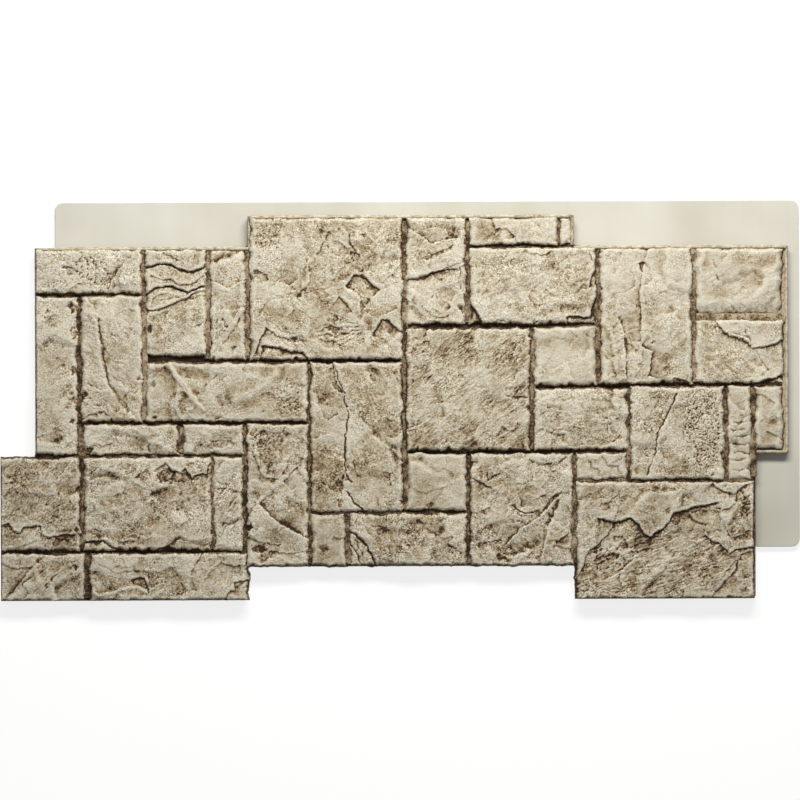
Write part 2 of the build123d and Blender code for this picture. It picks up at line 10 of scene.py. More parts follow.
import bmesh
import bpy
import numpy as np
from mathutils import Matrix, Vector


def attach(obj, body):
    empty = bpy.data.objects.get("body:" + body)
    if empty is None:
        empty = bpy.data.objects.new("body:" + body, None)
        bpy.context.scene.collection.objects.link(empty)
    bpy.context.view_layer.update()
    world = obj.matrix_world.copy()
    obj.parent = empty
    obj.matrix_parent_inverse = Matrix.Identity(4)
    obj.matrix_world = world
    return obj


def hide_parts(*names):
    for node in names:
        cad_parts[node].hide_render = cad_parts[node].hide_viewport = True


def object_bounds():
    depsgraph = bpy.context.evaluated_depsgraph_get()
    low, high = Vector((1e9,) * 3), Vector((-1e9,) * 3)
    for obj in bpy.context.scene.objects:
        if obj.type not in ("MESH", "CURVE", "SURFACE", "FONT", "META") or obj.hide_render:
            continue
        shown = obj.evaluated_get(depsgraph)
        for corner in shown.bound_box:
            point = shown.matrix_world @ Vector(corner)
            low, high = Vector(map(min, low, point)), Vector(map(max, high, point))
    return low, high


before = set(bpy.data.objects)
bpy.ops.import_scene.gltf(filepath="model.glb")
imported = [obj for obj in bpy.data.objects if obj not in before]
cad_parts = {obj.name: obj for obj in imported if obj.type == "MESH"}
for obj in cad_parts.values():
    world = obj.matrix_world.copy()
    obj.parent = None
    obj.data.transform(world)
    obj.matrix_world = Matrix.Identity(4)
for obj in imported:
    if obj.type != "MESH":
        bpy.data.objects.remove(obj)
CAD_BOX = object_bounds()
NODE = "faux_stone_panel"
BODY = "root"
MM = 0.001
print("box of the solid in metres", CAD_BOX)


def placed(name, data):
    """An object at the origin that holds the data, linked to the scene."""
    obj = bpy.data.objects.new(name, data)
    bpy.context.scene.collection.objects.link(obj)
    return obj


# %% [markdown]
# ## The layout of the stones
# The stones lie in courses, and every joint line follows from the widths and heights of
# the stones beside it, as in the solid. Working the lines out again from the same sizes
# keeps the relief on the solid, and a mason reads the list as a setting-out drawing.

# %% Sizes of the moulding in millimetres
SHEET_THICKNESS = 8.0
SHEET_CORNER = 13.0
LAP_CLEARANCE = 0.5
BED_LEVEL = 18.0
STONE_TOP = 31.75
SIDE_LAP = 17.8
TOP_LAP = 22.0
END_STEP = 55.3
EDGE_STEP = 48.5
STEP_CLEARANCE = 3.5
LEFT_COVER = 30.0
BOTTOM_COVER = 80.0
FIELD_CORNER = 6.0

# %% Joint lines from the stone sizes
coverage_length = 169.0 + 100.0 + 62.0 + 243.0 + 99.0 + 203.0 + 147.5 + 148.0
coverage_height = 76.0 + 149.5 + 50.5 + 96.0 + 5.0 + 99.0 + 73.5
panel_length = END_STEP + coverage_length + SIDE_LAP
panel_height = coverage_height + EDGE_STEP + TOP_LAP

left_low = -panel_length / 2
left_high = left_low + END_STEP
x_left_upright = left_high + 68.0
x_outer_left = x_left_upright + 4.0
x_foot_left = x_outer_left + 8.0
x_corner_cap = left_high + 169.0
x_low_strip = x_corner_cap + 57.0
x_stacked = x_corner_cap + 100.0
x_lower_narrow = x_stacked + 5.5
x_step_left = x_stacked + 62.0
x_wedge = x_step_left - 6.0
x_tall = x_step_left + 96.0
x_base_small = x_tall + 59.0
x_centre = x_step_left + 243.0
x_square = x_centre + 99.0
x_slate = x_square + 99.5
x_long_cap = x_square + 142.0
x_step_right = x_square + 165.0
x_long = x_square + 203.0
x_pitted = x_long + 46.5
x_notched = x_long + 147.5
x_wrinkled = x_notched + 50.0
x_right_small = x_wrinkled + 42.0
right_high = x_notched + 148.0
right_low = right_high - END_STEP + STEP_CLEARANCE

bottom_side = -panel_height / 2
y_foot = bottom_side + 76.0
y_step = y_foot + 149.5
y_slate_foot = y_step + 4.0
y_folded = y_step - 40.5
y_tall_foot = y_step - 89.5
y_low_strip = y_step + 50.5
y_centre = y_low_strip + 96.0
y_stacked = y_centre + 5.0
y_corner_cap = y_stacked + 99.0
y_slate = y_centre + 54.3
y_right_under = y_slate + 13.7
y_right = y_centre - 39.5
y_rimmed = y_right - 3.0
top_side = y_corner_cap + 73.5
top_middle = top_side + EDGE_STEP
bottom_middle = top_middle - coverage_height + STEP_CLEARANCE

sheet_left = left_high + LEFT_COVER
sheet_right = right_high + SIDE_LAP
sheet_top = top_middle + TOP_LAP
sheet_bottom = bottom_side + BOTTOM_COVER
print("panel", panel_length, "by", panel_height, "mm")

# %% [markdown]
# ## Noise and split lines
# Split stone is not random all over. It has a few long breaks, where one layer has come
# away from the next, and between them a fine grain. So two tools are needed: smooth
# gradient noise for the grain, and a measure of how far a point is from a drawn line, and
# on which side of it. The lines were read off the photograph in its own pixels, so
# one function turns them into millimetres on the panel.

# %% Gradient noise on millimetre coordinates
LATTICE = 256
angles = np.random.default_rng(11).uniform(0, 2 * math.pi, (LATTICE, LATTICE))
GRADIENT_X = np.cos(angles)
GRADIENT_Y = np.sin(angles)


def noise(x, y, size, seed):
    """Smooth noise from about -1 to 1, with bumps about `size` millimetres apart."""
    u = x / size + seed * 17.31
    v = y / size + seed * 9.73
    column = np.floor(u).astype(int)
    row = np.floor(v).astype(int)
    fu = u - column
    fv = v - row
    su = fu * fu * fu * (fu * (fu * 6 - 15) + 10)
    sv = fv * fv * fv * (fv * (fv * 6 - 15) + 10)

    def corner(i, j):
        c = (column + i) % LATTICE
        r = (row + j) % LATTICE
        return GRADIENT_X[c, r] * (fu - i) + GRADIENT_Y[c, r] * (fv - j)

    low = corner(0, 0) * (1 - su) + corner(1, 0) * su
    high = corner(0, 1) * (1 - su) + corner(1, 1) * su
    return 1.5 * (low * (1 - sv) + high * sv)


def rough(x, y, size, seed, octaves=4, gain=0.5):
    """Noise on several scales, each half the size of the last."""
    total = np.zeros_like(x)
    for k in range(octaves):
        total = total + gain**k * noise(x, y, size / 2**k, seed + k)
    return total


def creased(x, y, seed):
    """Noise with sharp crests and round dips, as split stone has between its breaks."""
    along = x + 6.0 * noise(x, y, 24.0, seed)
    across = y + 6.0 * noise(x, y, 24.0, seed + 1)
    broad = 0.45 - 1.7 * np.abs(noise(along, across, 34.0, seed + 2))
    narrow = 0.40 - 1.6 * np.abs(noise(along, across, 15.0, seed + 3))
    return broad + 0.5 * narrow + 0.5 * noise(along, across, 21.0, seed + 4)


def broken(x, y, seed):
    """Small steps with sharp edges that come and go along wandering lines."""
    total = np.zeros_like(x)
    for k, size in enumerate((44.0, 29.0, 19.0)):
        along = x + 2.0 * noise(x, y, 8.0, seed + 7 * k)
        across = y + 2.0 * noise(x, y, 8.0, seed + 7 * k + 1)
        field = noise(along, across * 1.3, size, seed + 7 * k + 2)
        step = smooth(-0.5 / size, 0.8 / size, field) * np.exp(-np.maximum(field, 0) * 2.5)
        total = total + step * smooth(-0.05, 0.35, noise(x, y, size * 1.3, seed + 7 * k + 3))
    return total


def facets(x, y, size, angle, seed):
    """Flat cells at random tilts, as stone splits, and a value from -1 to 1 for each cell."""
    along, across = turned(x, y, angle)
    along = along + 0.10 * size * rough(x, y, 0.7 * size, seed, 3)
    across = across + 0.10 * size * rough(x, y, 0.7 * size, seed + 5, 3)
    u = along / (1.5 * size) + 0.37 * seed
    v = across / size + 0.61 * seed
    column = np.floor(u).astype(int)
    row = np.floor(v).astype(int)
    nearest = np.full(x.shape, 1e9)
    height = np.zeros_like(x)
    value = np.zeros_like(x)
    for i in (-1, 0, 1):
        for n in (-1, 0, 1):
            c = (column + i) % LATTICE
            r = (row + n) % LATTICE
            du = u - column - i - 0.5 - 0.38 * GRADIENT_X[c, r]
            dv = v - row - n - 0.5 - 0.38 * GRADIENT_Y[c, r]
            distance = du * du + dv * dv
            plane = GRADIENT_X[r, c] * du + GRADIENT_Y[r, c] * dv + 0.3 * GRADIENT_X[r, c - 9]
            height = np.where(distance < nearest, plane, height)
            value = np.where(distance < nearest, GRADIENT_Y[r, c - 9], value)
            nearest = np.minimum(nearest, distance)
    return height, value


def smooth(low, high, value):
    """0 below `low`, 1 above `high`, eased in between."""
    t = np.clip((value - low) / (high - low), 0, 1)
    return t * t * (3 - 2 * t)


def turned(x, y, degrees):
    """Coordinates along and across a direction."""
    a = math.radians(degrees)
    along = x * math.cos(a) + y * math.sin(a)
    across = -x * math.sin(a) + y * math.cos(a)
    return along, across


# %% Lines read off the photograph
PIXEL = 1.5558
PHOTO_CENTRE = (400.0, 400.5)
PHOTO_ROLL = math.radians(0.22)


def on_panel(points):
    """Photograph pixels to millimetres on the panel, with the photograph's slight roll taken out."""
    p = (np.array(points, float) - PHOTO_CENTRE) * (PIXEL, -PIXEL)
    c = math.cos(PHOTO_ROLL)
    s = math.sin(PHOTO_ROLL)
    return np.c_[p[:, 0] * c + p[:, 1] * s, -p[:, 0] * s + p[:, 1] * c]


def from_line(x, y, line):
    """Distance from a line, positive on its left; how far along it; and its length."""
    nearest = np.full(x.shape, 1e9)
    side = np.ones(x.shape)
    along = np.zeros(x.shape)
    start = 0.0
    last_normal = None
    for a, b in zip(line[:-1], line[1:]):
        run = b - a
        length = max(np.hypot(*run), 1e-6)
        direction = run / length
        normal = np.array((-direction[1], direction[0]))
        t = np.clip((x - a[0]) * direction[0] + (y - a[1]) * direction[1], 0, length)
        dx = x - a[0] - direction[0] * t
        dy = y - a[1] - direction[1] * t
        distance = np.hypot(dx, dy)
        here = dx * normal[0] + dy * normal[1]
        # Where two runs meet, the mean of their normals says which side a point is on.
        if last_normal is not None:
            both = dx * (normal + last_normal)[0] + dy * (normal + last_normal)[1]
            here = np.where(t <= 0, both, here)
            at_corner = (t <= 0) & (np.abs(distance - nearest) < 1e-6)
            side = np.where(at_corner, np.sign(both), side)
        closer = distance < nearest - 1e-6
        nearest = np.where(closer, distance, nearest)
        side = np.where(closer, np.sign(here), side)
        along = np.where(closer, start + t, along)
        start += length
        last_normal = normal
    return nearest * np.where(side == 0, 1, side), along, start


# %% [markdown]
# ## The marks on a stone
# Each mark is a small function that returns a height change over the stone. A ledge drops
# on the right of its line, seen along it, and the lower face climbs back further out. A
# crack is a narrow groove, a ridge the reverse, a bend tilts all of one side, and the
# others fill an area with pits, grain or thin stacked layers.

# %% Marks with a line
def faded(along, length, ends):
    """1 along the line, falling to 0 at an end that dies out within the stone."""
    first, last = ends
    value = np.ones_like(along)
    if first:
        value = value * smooth(0, first, along)
    if last:
        value = value * smooth(0, last, length - along)
    return value


def shaken(x, y, amount, seed):
    """Coordinates moved a little, so that a drawn line breaks as stone does."""
    return (
        x + amount * (noise(x, y, 7.0, seed) + 0.6 * noise(x, y, 3.0, seed + 1)),
        y + amount * (noise(x, y, 7.0, seed + 2) + 0.6 * noise(x, y, 3.0, seed + 3)),
    )


def ledge(points, drop, reach=22.0, face=1.4, ends=(0, 0), jag=0.9, lip=0.0):
    """A break that drops on the right of the line and climbs back over `reach` millimetres."""
    line = on_panel(points)

    def change(x, y, seed):
        distance, along, length = from_line(*shaken(x, y, jag, seed), line)
        fade = faded(along, length, ends)
        low = smooth(0.3, -face, distance) * np.exp(-np.maximum(-distance, 0) / reach)
        edge = lip * np.exp(-np.abs(distance - 1.0) / 2.0)
        return fade * (edge - drop * low)

    return change


def crack(points, depth, width=1.3, ends=(5, 5), jag=0.8):
    """A narrow groove along the line. A negative depth makes a ridge."""
    line = on_panel(points)

    def change(x, y, seed):
        distance, along, length = from_line(*shaken(x, y, jag, seed), line)
        return -depth * faded(along, length, ends) * np.exp(-((distance / width) ** 2))

    return change


def ridge(points, height, width=3.0, ends=(6, 6), jag=0.6):
    """A raised crest along the line."""
    return crack(points, -height, width, ends, jag)


def bend(points, slope, reach=60.0, soft=3.0):
    """The face to the right of the line falls away at `slope`, until `reach`."""
    line = on_panel(points)

    def change(x, y, seed):
        distance, _, _ = from_line(*shaken(x, y, 1.2, seed), line)
        out = np.maximum(-distance, 0)
        out = np.where(out < soft, out * out / (2 * soft), out - soft / 2)
        return -slope * np.minimum(out, reach)

    return change


# %% Marks with an area
def inside(x, y, centre, size, angle=0.0):
    """1 at the middle of an oval patch, 0 at its rim and beyond."""
    middle = on_panel([centre])[0]
    along, across = turned(x - middle[0], y - middle[1], angle)
    r = np.hypot(along / (size[0] * PIXEL), across / (size[1] * PIXEL))
    return np.clip(1 - r, 0, 1), r


def hollow(centre, size, depth, angle=0.0, steep=0.85, ragged=0.6):
    """A dip; a small `steep` gives it a flat floor and a sharp rim, `ragged` an uneven one."""

    def change(x, y, seed):
        _, r = inside(*shaken(x, y, 2.2, seed), centre, size, angle)
        r = r * (1.1 + ragged * noise(x, y, 9.0, seed + 4))
        return -0.75 * depth * smooth(1.05, 1.0 - steep, r)

    return change


def pits(centre, size, depth, pitch=4.0, amount=0.5):
    """A patch of small holes, as where grit has fallen out of the stone."""

    def change(x, y, seed):
        weight = smooth(0.0, 0.45, inside(x, y, centre, size)[0] + 0.15 * noise(x, y, 12.0, seed))
        holes = rough(x, y, pitch, seed + 5, 2) + 0.35 * noise(x, y, pitch * 3, seed + 7)
        return -depth * weight * smooth(1 - 2 * amount, 1.15 - amount, holes)

    return change


def grain(centre, size, depth, angle, pitch=3.5, stretch=7.0):
    """Slanting slate grain: short, sharp-edged flakes that overlap in one direction."""

    def change(x, y, seed):
        weight = smooth(0.0, 0.35, inside(x, y, centre, size)[0])
        along, across = turned(x, y, angle)
        along = along + 3.0 * noise(x, y, 20.0, seed)
        across = across + 2.0 * noise(x, y, 14.0, seed + 1)
        drawn_out = along / stretch
        wave = noise(drawn_out, across, pitch, seed + 2)
        wave = wave + 0.5 * noise(drawn_out, across, pitch / 2, seed + 3)
        return depth * weight * (np.abs(wave) - 0.35)

    return change


def layers(centre, size, height, angle, pitch):
    """Thin stacked layers whose edges run along `angle`, each a sharp step down."""

    def change(x, y, seed):
        weight = smooth(0.0, 0.3, inside(x, y, centre, size)[0])
        _, across = turned(x, y, angle)
        v = (across + 7.0 * rough(x, y, 34.0, seed, 3)) / pitch
        step = np.floor(v) + smooth(0.80, 1.0, v - np.floor(v))
        return weight * height * (step - v)

    return change


# %% [markdown]
# ## A stone as a grid
# Each stone is one closed grid: the face, with its rows close together at the edge, then two
# rows that turn down over the arris to the foot of the wall. The rows follow the stone's own
# wandering edge, so the arris stays crisp, which an even height map over the whole panel
# could not do. The heights also give the brown wash: where the face lies lower than the mean
# of what is around it, paint would have stayed when the panel was wiped.

# %% Grid spacing and edge sizes
PITCH = 1.35
UPRIGHT_JOINT = 5.0
LEVEL_JOINT = 5.2
BROAD_JOINT = 8.0
RIGHT_LIP = 8.5
TOP_LIP = 4.0
OPEN_EDGE = 1.4
WALL_LEAN = 2.4
FOOT_LEVEL = BED_LEVEL - 2.5
FLAP = 6.0
print("grid spacing on the stones", PITCH, "mm")


def grid_line(low, high):
    """Positions across a stone: foot, mid-wall, close rows at the arris, then even spacing."""
    near = np.array([0.0, 0.6, 1.4, 2.5])
    count = max(int(round((high - low - 2 * near[-1]) / PITCH)), 2)
    middle = np.linspace(low + near[-1], high - near[-1], count + 1)
    face = np.r_[low + near[:-1], middle, high - near[:-1][::-1]]
    place = np.r_[low - WALL_LEAN, low - WALL_LEAN / 2, face, high + WALL_LEAN / 2, high + WALL_LEAN]
    unrolled = np.r_[low - 2 * FLAP, low - FLAP, face, high + FLAP, high + 2 * FLAP]
    return place, unrolled


def blurred(z, radius):
    """Mean of each height with its neighbours, done twice for a soft edge."""
    for _ in range(2):
        for axis in (0, 1):
            padded = np.pad(z, [(radius + 1, radius) if a == axis else (0, 0) for a in (0, 1)], mode="edge")
            total = np.cumsum(padded, axis=axis)
            width = 2 * radius + 1
            if axis == 0:
                z = (total[width:] - total[:-width]) / width
            else:
                z = (total[:, width:] - total[:, :-width]) / width
    return z


def edge_drop(distance, along, seed, round_off, chips, bevel):
    """How far the face has fallen this near an edge: a worn arris and scalloped chips."""
    radius = round_off * (1.0 + 0.5 * noise(along, along * 0.0 + seed, 21.0, seed))
    inner = np.clip(1 - distance / radius, 0, 1)
    rounding = 0.9 * (1 - np.sqrt(1 - inner * inner * 0.97))
    fall = radius * ((1 - bevel) * rounding + bevel * 0.75 * inner**1.6)
    bite = np.clip(noise(along, distance * 0.25 + seed * 3.1, 12.0, seed + 1) - 0.12, 0, 1)
    bite = bite + 0.6 * np.clip(noise(along, distance * 0.2 + seed * 1.7, 5.5, seed + 2) - 0.2, 0, 1)
    chip = 1.3 * np.clip(chips * bite - distance, 0, None)
    return fall + chip


# %% Relief, wear and wash of a stone
# How far apart the bumps are: of the swell, the large and small flats, and the flakes.
SWELL_SIZE = 60.0
LARGE_FLAT = 52.0
SMALL_FLAT = 23.0
FLAKE_PITCH = 13.0
# How high each kind of relief stands where the stone's own factor for it is 1.
SWELL_HEIGHT = 1.4
LARGE_FLAT_HEIGHT = 3.4
SMALL_FLAT_HEIGHT = 1.5
FLAKE_HEIGHT = 1.5
CREASE_HEIGHT = 0.4
BREAK_HEIGHT = 0.65
# How far an edge wanders from its joint line, in long waves and in short ones.
WANDER_SIDEWAYS = (2.1, 1.9)
WANDER_UPWARDS = (1.8, 1.6)
# The wash everywhere, and for each millimetre that the face lies below its surroundings.
WASH_ALL_OVER = 0.30
WASH_IN_FINE_DIPS = 0.50
WASH_IN_DIPS = 0.36
WASH_IN_BROAD_DIPS = 0.10
# How each edge is worn, left, right, bottom and top in turn: rounding against the stone's
# round_off, how much wash stays there, how far in from the edge it reaches, and how much of
# the rounding is a bevel. That wash is partly painted shade: the top edge, which faces the
# light, holds less, and the bottom edge, which faces away from it, holds it further in.
EDGE_WEAR_AND_SHADE = ((2.5, 0.34, 4.6, 1.0), (2.5, 0.34, 4.6, 1.0), (2.3, 0.34, 5.6, 0.2), (1.7, 0.14, 2.6, 0.5))
OPEN_WEAR = ((1.0, 0.06, 3.0, 0.5), (1.0, 0.06, 3.0, 0.5), (1.7, 0.10, 4.0, 0.4))
# How much wash the wall under each edge holds at its foot, in the same order. The bottom
# wall faces down, away from the light, and its darkest value there is painted shade.
FOOT_WASH_AND_SHADE = (0.60, 0.60, 1.0, 0.60)
OPEN_FOOT_WASH = (0.30, 0.40, 0.40)


def stone(name, left, right, bottom, top, face, marks=(), tilt=(0.0, 0.0), swell=1.2, flake=0.5,
          flake_angle=20.0, grit=0.3, lumps=0.75, breaks=1.0, round_off=2.6, chips=(3.5, 3.5, 5.5, 2.5),
          tone=0.0, stain=(), open_sides=(), seed=1):
    """A stone's grid of places, with its wash, tone, speckle and unrolled coordinates.

    chips is for the left, right, bottom and top edges, in turn. open_sides numbers the ones
    of the first three that are open edges of the panel, which hold little wash. On the left
    and right they are straight too. The wash is partly painted shade under the bottom edge,
    and tone is partly the stone's own tone and partly painted shade that is set darker on
    the lower stones.
    """
    xs, us = grid_line(left, right)
    ys, vs = grid_line(bottom, top)
    inner = (slice(2, -2), slice(2, -2))
    x, y = np.meshgrid(xs[2:-2], ys[2:-2])

    z = face + tilt[0] * (x - (left + right) / 2) + tilt[1] * (y - (bottom + top) / 2)
    z = z + SWELL_HEIGHT * swell * rough(x, y, SWELL_SIZE, seed, 2)
    # Flakes: a slow noise cut into steps, most of which face down the wall.
    along, across = turned(x, y, flake_angle)
    v = (across + 5.0 * rough(x, y, 26.0, seed + 20, 4, 0.55)) / FLAKE_PITCH
    steps = np.floor(v) + smooth(0.82, 1.0, v - np.floor(v))
    patchy = smooth(-0.25, 0.5, noise(x, y, 38.0, seed + 24))
    z = z + FLAKE_HEIGHT * flake * patchy * (steps - v)
    # Facets: the stone split into flats, large and small, that hold more or less wash.
    large, large_wash = facets(x, y, LARGE_FLAT, flake_angle, seed + 130)
    small, small_wash = facets(x, y, SMALL_FLAT, flake_angle, seed + 140)
    shown = smooth(-0.5, 0.4, noise(x, y, 31.0, seed + 150))
    z = z + lumps * (LARGE_FLAT_HEIGHT * blurred(large, 2) + SMALL_FLAT_HEIGHT * small * shown)
    for number, mark in enumerate(marks):
        z = z + mark(x, y, seed * 7 + 31 + number * 5)
    z = z + CREASE_HEIGHT * lumps * creased(x, y, seed + 60)
    z = z + BREAK_HEIGHT * breaks * broken(x, y, seed + 120)
    fine = 0.3 * noise(x, y, 6.5, seed + 40) + 0.4 * noise(x, y, 3.8, seed + 41)
    fine = fine + 0.7 * noise(x, y, 2.8, seed + 44)
    sharp = -0.6 * np.abs(noise(x, y, 9.0, seed + 42)) - 0.5 * np.abs(noise(x, y, 4.5, seed + 43))
    z = z + grit * (fine + sharp + 0.4)

    edges = (
        (x - left, y, 1.5 * chips[0], 50),
        (right - x, y, 1.5 * chips[1], 60),
        (y - bottom, x, 1.7 * chips[2], 70),
        (top - y, x, chips[3], 80),
    )
    edge_wear_and_shade = list(EDGE_WEAR_AND_SHADE)
    foot_wash_and_shade = list(FOOT_WASH_AND_SHADE)
    for open_side in open_sides:
        edge_wear_and_shade[open_side] = OPEN_WEAR[open_side]
        foot_wash_and_shade[open_side] = OPEN_FOOT_WASH[open_side]
    fall = np.zeros_like(z)
    settled_wash_and_shade = np.zeros_like(z)
    # The wash near each edge is partly painted shade: less on the lit top edge, further in on the bottom
    # edge.
    for (distance, run, chip, offset), (rounding, edge_wash_and_shade, reach, bevel) in zip(edges, edge_wear_and_shade):
        drop = edge_drop(distance, run, seed + offset, round_off * rounding, chip, bevel)
        fall = np.maximum(fall, drop)
        patchy = 1 + 0.9 * noise(run, distance * 0.6, 8.0, seed + offset + 3)
        reach = reach * np.clip(1 + 1.2 * noise(run, run * 0, 33.0, seed + offset + 4), 0.4, 2.2)
        settled_wash_and_shade = np.maximum(settled_wash_and_shade, edge_wash_and_shade * patchy * np.exp(-distance / reach))
    whole = z
    # No stone rises above the solid's, and none sinks as low as the bed.
    z = np.minimum(z, STONE_TOP - 0.15 - 0.25 * np.exp(-(STONE_TOP - z)))
    z = np.maximum(z - fall, BED_LEVEL + 1.0)

    # The wash gathers in dips of several widths and thins on crests.
    fine_dip = blurred(z, 1) - z
    dip = blurred(z, 3) - z
    broad_dip = blurred(whole, 9) - whole
    wash_and_shade = WASH_ALL_OVER + WASH_IN_FINE_DIPS * np.clip(fine_dip, -0.4, 0.6)
    wash_and_shade = wash_and_shade + WASH_IN_DIPS * np.clip(dip, -0.8, 1.1)
    wash_and_shade = wash_and_shade + WASH_IN_BROAD_DIPS * np.clip(broad_dip, -2.5, 3.0) + settled_wash_and_shade
    wash_and_shade = wash_and_shade + 0.21 * rough(x, y, 52.0, seed + 90, 3) + 0.11 * large_wash + 0.04 * small_wash
    for centre, size, strength in stain:
        patch = inside(*shaken(x, y, 3.0, seed + 95), centre, size)[0]
        ragged = patch * (1 + 0.9 * rough(x, y, 16.0, seed + 96, 3)) + 0.15 * noise(x, y, 9.0, seed + 97)
        wash_and_shade = wash_and_shade + 0.9 * strength * smooth(0.0, 0.8, ragged)

    # Outside the arris the height falls to the foot, and the wash darkens; under the bottom edge
    # that darkening is painted shade.
    height = np.full((len(ys), len(xs)), FOOT_LEVEL)
    height[inner] = z
    coat = np.full_like(height, foot_wash_and_shade[0])
    coat[:, -2:] = foot_wash_and_shade[1]
    coat[:2] = foot_wash_and_shade[2]
    coat[-2:] = foot_wash_and_shade[3]
    coat[inner] = wash_and_shade
    ring = np.full(height.shape, 2)
    ring[1:-1, 1:-1] = 1
    ring[inner] = 0
    row = np.clip(np.arange(len(ys)), 2, len(ys) - 3)
    column = np.clip(np.arange(len(xs)), 2, len(xs) - 3)
    rim = height[row][:, column]
    rim_coat = coat[row][:, column]
    height = np.where(ring == 1, 0.5 * (rim + FOOT_LEVEL), height)
    coat = np.where(ring == 1, 0.5 * np.clip(rim_coat, 0, 1) + 0.5 * coat, coat)

    gx, gy = np.meshgrid(xs, ys)
    cx = np.clip(gx, left, right)
    cy = np.clip(gy, bottom, top)
    long_wave, short_wave = WANDER_SIDEWAYS
    wander_x = long_wave * noise(cx, cy, 30.0, seed + 100) + short_wave * rough(cx, cy, 11.0, seed + 101, 2)
    long_wave, short_wave = WANDER_UPWARDS
    wander_y = long_wave * noise(cx, cy, 34.0, seed + 102) + short_wave * rough(cx, cy, 12.0, seed + 103, 2)
    if 0 in open_sides:
        wander_x = wander_x * smooth(-4.0, 16.0, cx - left)
    if 1 in open_sides:
        wander_x = wander_x * smooth(-4.0, 16.0, right - cx)
    low_x, low_y = np.array(CAD_BOX[0][:2]) / MM
    high_x, high_y = np.array(CAD_BOX[1][:2]) / MM
    gx = np.clip(gx + wander_x, low_x + 0.1, high_x - 0.1)
    gy = np.clip(gy + wander_y, low_y + 0.1, high_y - 0.1)
    places = np.stack((gx, gy, height), axis=-1)
    u, v = np.meshgrid(us, vs)
    spread = np.stack(
        (
            left - 4 + (u - us[0]) / (us[-1] - us[0]) * (right - left + 8),
            bottom - 3 + (v - vs[0]) / (vs[-1] - vs[0]) * (top - bottom + 6),
        ),
        axis=-1,
    )
    # A gritty stone is speckled, in some places more than in others.
    speckle = np.clip(grit / 0.28, 0.45, 1.7)
    speckle = speckle * (0.6 + 0.75 * smooth(-0.4, 0.5, noise(gx, gy, 36.0, seed + 110)))
    return {
        "name": name,
        "places": places,
        "wash_and_shade": coat,
        "tone": np.full_like(coat, tone),
        "speckle": speckle,
        "spread": spread,
        "hidden": np.array((left - 3.6, bottom - 2.7)),
    }


def closed_grid(places):
    """Quads over a grid of points, and one face round its rim that closes it underneath."""
    rows, columns = places.shape[:2]
    index = np.arange(rows * columns).reshape(rows, columns)
    quads = np.stack((index[:-1, :-1], index[:-1, 1:], index[1:, 1:], index[1:, :-1]), axis=-1).reshape(-1, 4)
    rim = np.r_[index[0, :-1], index[:-1, -1], index[-1, :0:-1], index[:0:-1, 0]]
    return quads, rim[::-1]


def joined(name, stones):
    """One mesh object from several stones, with the wash and painted shade, the tone and a map for baking."""
    points, loops, starts, counts = [], [], [], []
    wash_and_shade, tone, speckle, spread = [], [], [], []
    first = 0
    used = 0
    for piece in stones:
        quads, rim = closed_grid(piece["places"])
        flat = piece["places"].reshape(-1, 3)
        points.append(flat)
        wash_and_shade.append(piece["wash_and_shade"].ravel())
        tone.append(piece["tone"].ravel())
        speckle.append(piece["speckle"].ravel())
        corners = np.r_[quads.ravel(), rim] + first
        loops.append(corners)
        starts.append(np.r_[np.arange(len(quads)) * 4, len(quads) * 4] + used)
        counts.append(np.r_[np.full(len(quads), 4), len(rim)])
        local = piece["spread"].reshape(-1, 2)
        # The closing face lies on the bed, so it gets only a speck of the map, in the corner.
        mapped = local[corners - first]
        around = np.linspace(0, 2 * math.pi, len(rim), endpoint=False)[::-1]
        mapped[len(quads) * 4 :] = piece["hidden"] + 0.1 * np.c_[np.cos(around), np.sin(around)]
        spread.append(mapped)
        first += len(flat)
        used += len(corners)
    mesh = bpy.data.meshes.new(name)
    points = np.concatenate(points) * MM
    loops = np.concatenate(loops)
    starts = np.concatenate(starts)
    mesh.vertices.add(len(points))
    mesh.vertices.foreach_set("co", points.ravel())
    mesh.loops.add(len(loops))
    mesh.loops.foreach_set("vertex_index", loops)
    mesh.polygons.add(len(starts))
    mesh.polygons.foreach_set("loop_start", starts)
    mesh.update(calc_edges=True)
    mesh.validate()
    for label, values in (("wash_and_shade", wash_and_shade), ("tone", tone), ("speckle", speckle)):
        layer = mesh.attributes.new(label, "FLOAT", "POINT")
        layer.data.foreach_set("value", np.concatenate(values).astype(np.float32))
    mesh.shade_smooth()
    layer = mesh.uv_layers.new(name="OFBake")
    flat = np.concatenate(spread)
    flat = flat - flat.min(axis=0)
    layer.uv.foreach_set("vector", (0.005 + 0.99 * flat / flat.max(axis=0)).ravel().astype(np.float32))
    print(name, "triangles", sum(len(p.vertices) - 2 for p in mesh.polygons))
    return placed(name, mesh)


# %% [markdown]
# ## The stones, one by one
# Each stone lists its own marks, as read off the photograph: long breaks, cracks and ridges,
# hollows and chips, and patches of grain or pits. Heights are in millimetres above the flat
# back. A stone could also be scanned or displaced by an image, but drawn lines keep the
# breaks sharp and let every stone be checked against the photograph one at a time.

# %% Stone faces and edge positions
PROUD = STONE_TOP - 2.0
HIGH = STONE_TOP - 3.2
MIDDLE = STONE_TOP - 5.0
LOW = STONE_TOP - 7.2
# Half the joint beside a stone, the one over or under it, and a broad one beside it.
side = UPRIGHT_JOINT / 2
seam = LEVEL_JOINT / 2
broad = BROAD_JOINT / 2
left_end = left_high + OPEN_EDGE
far_left = left_low + OPEN_EDGE
right_end = right_high - RIGHT_LIP
low_right_end = right_low - 4.0
top_end = top_side - TOP_LIP
middle_end = top_middle - TOP_LIP
foot = bottom_side + OPEN_EDGE
middle_foot = bottom_middle + 2.2

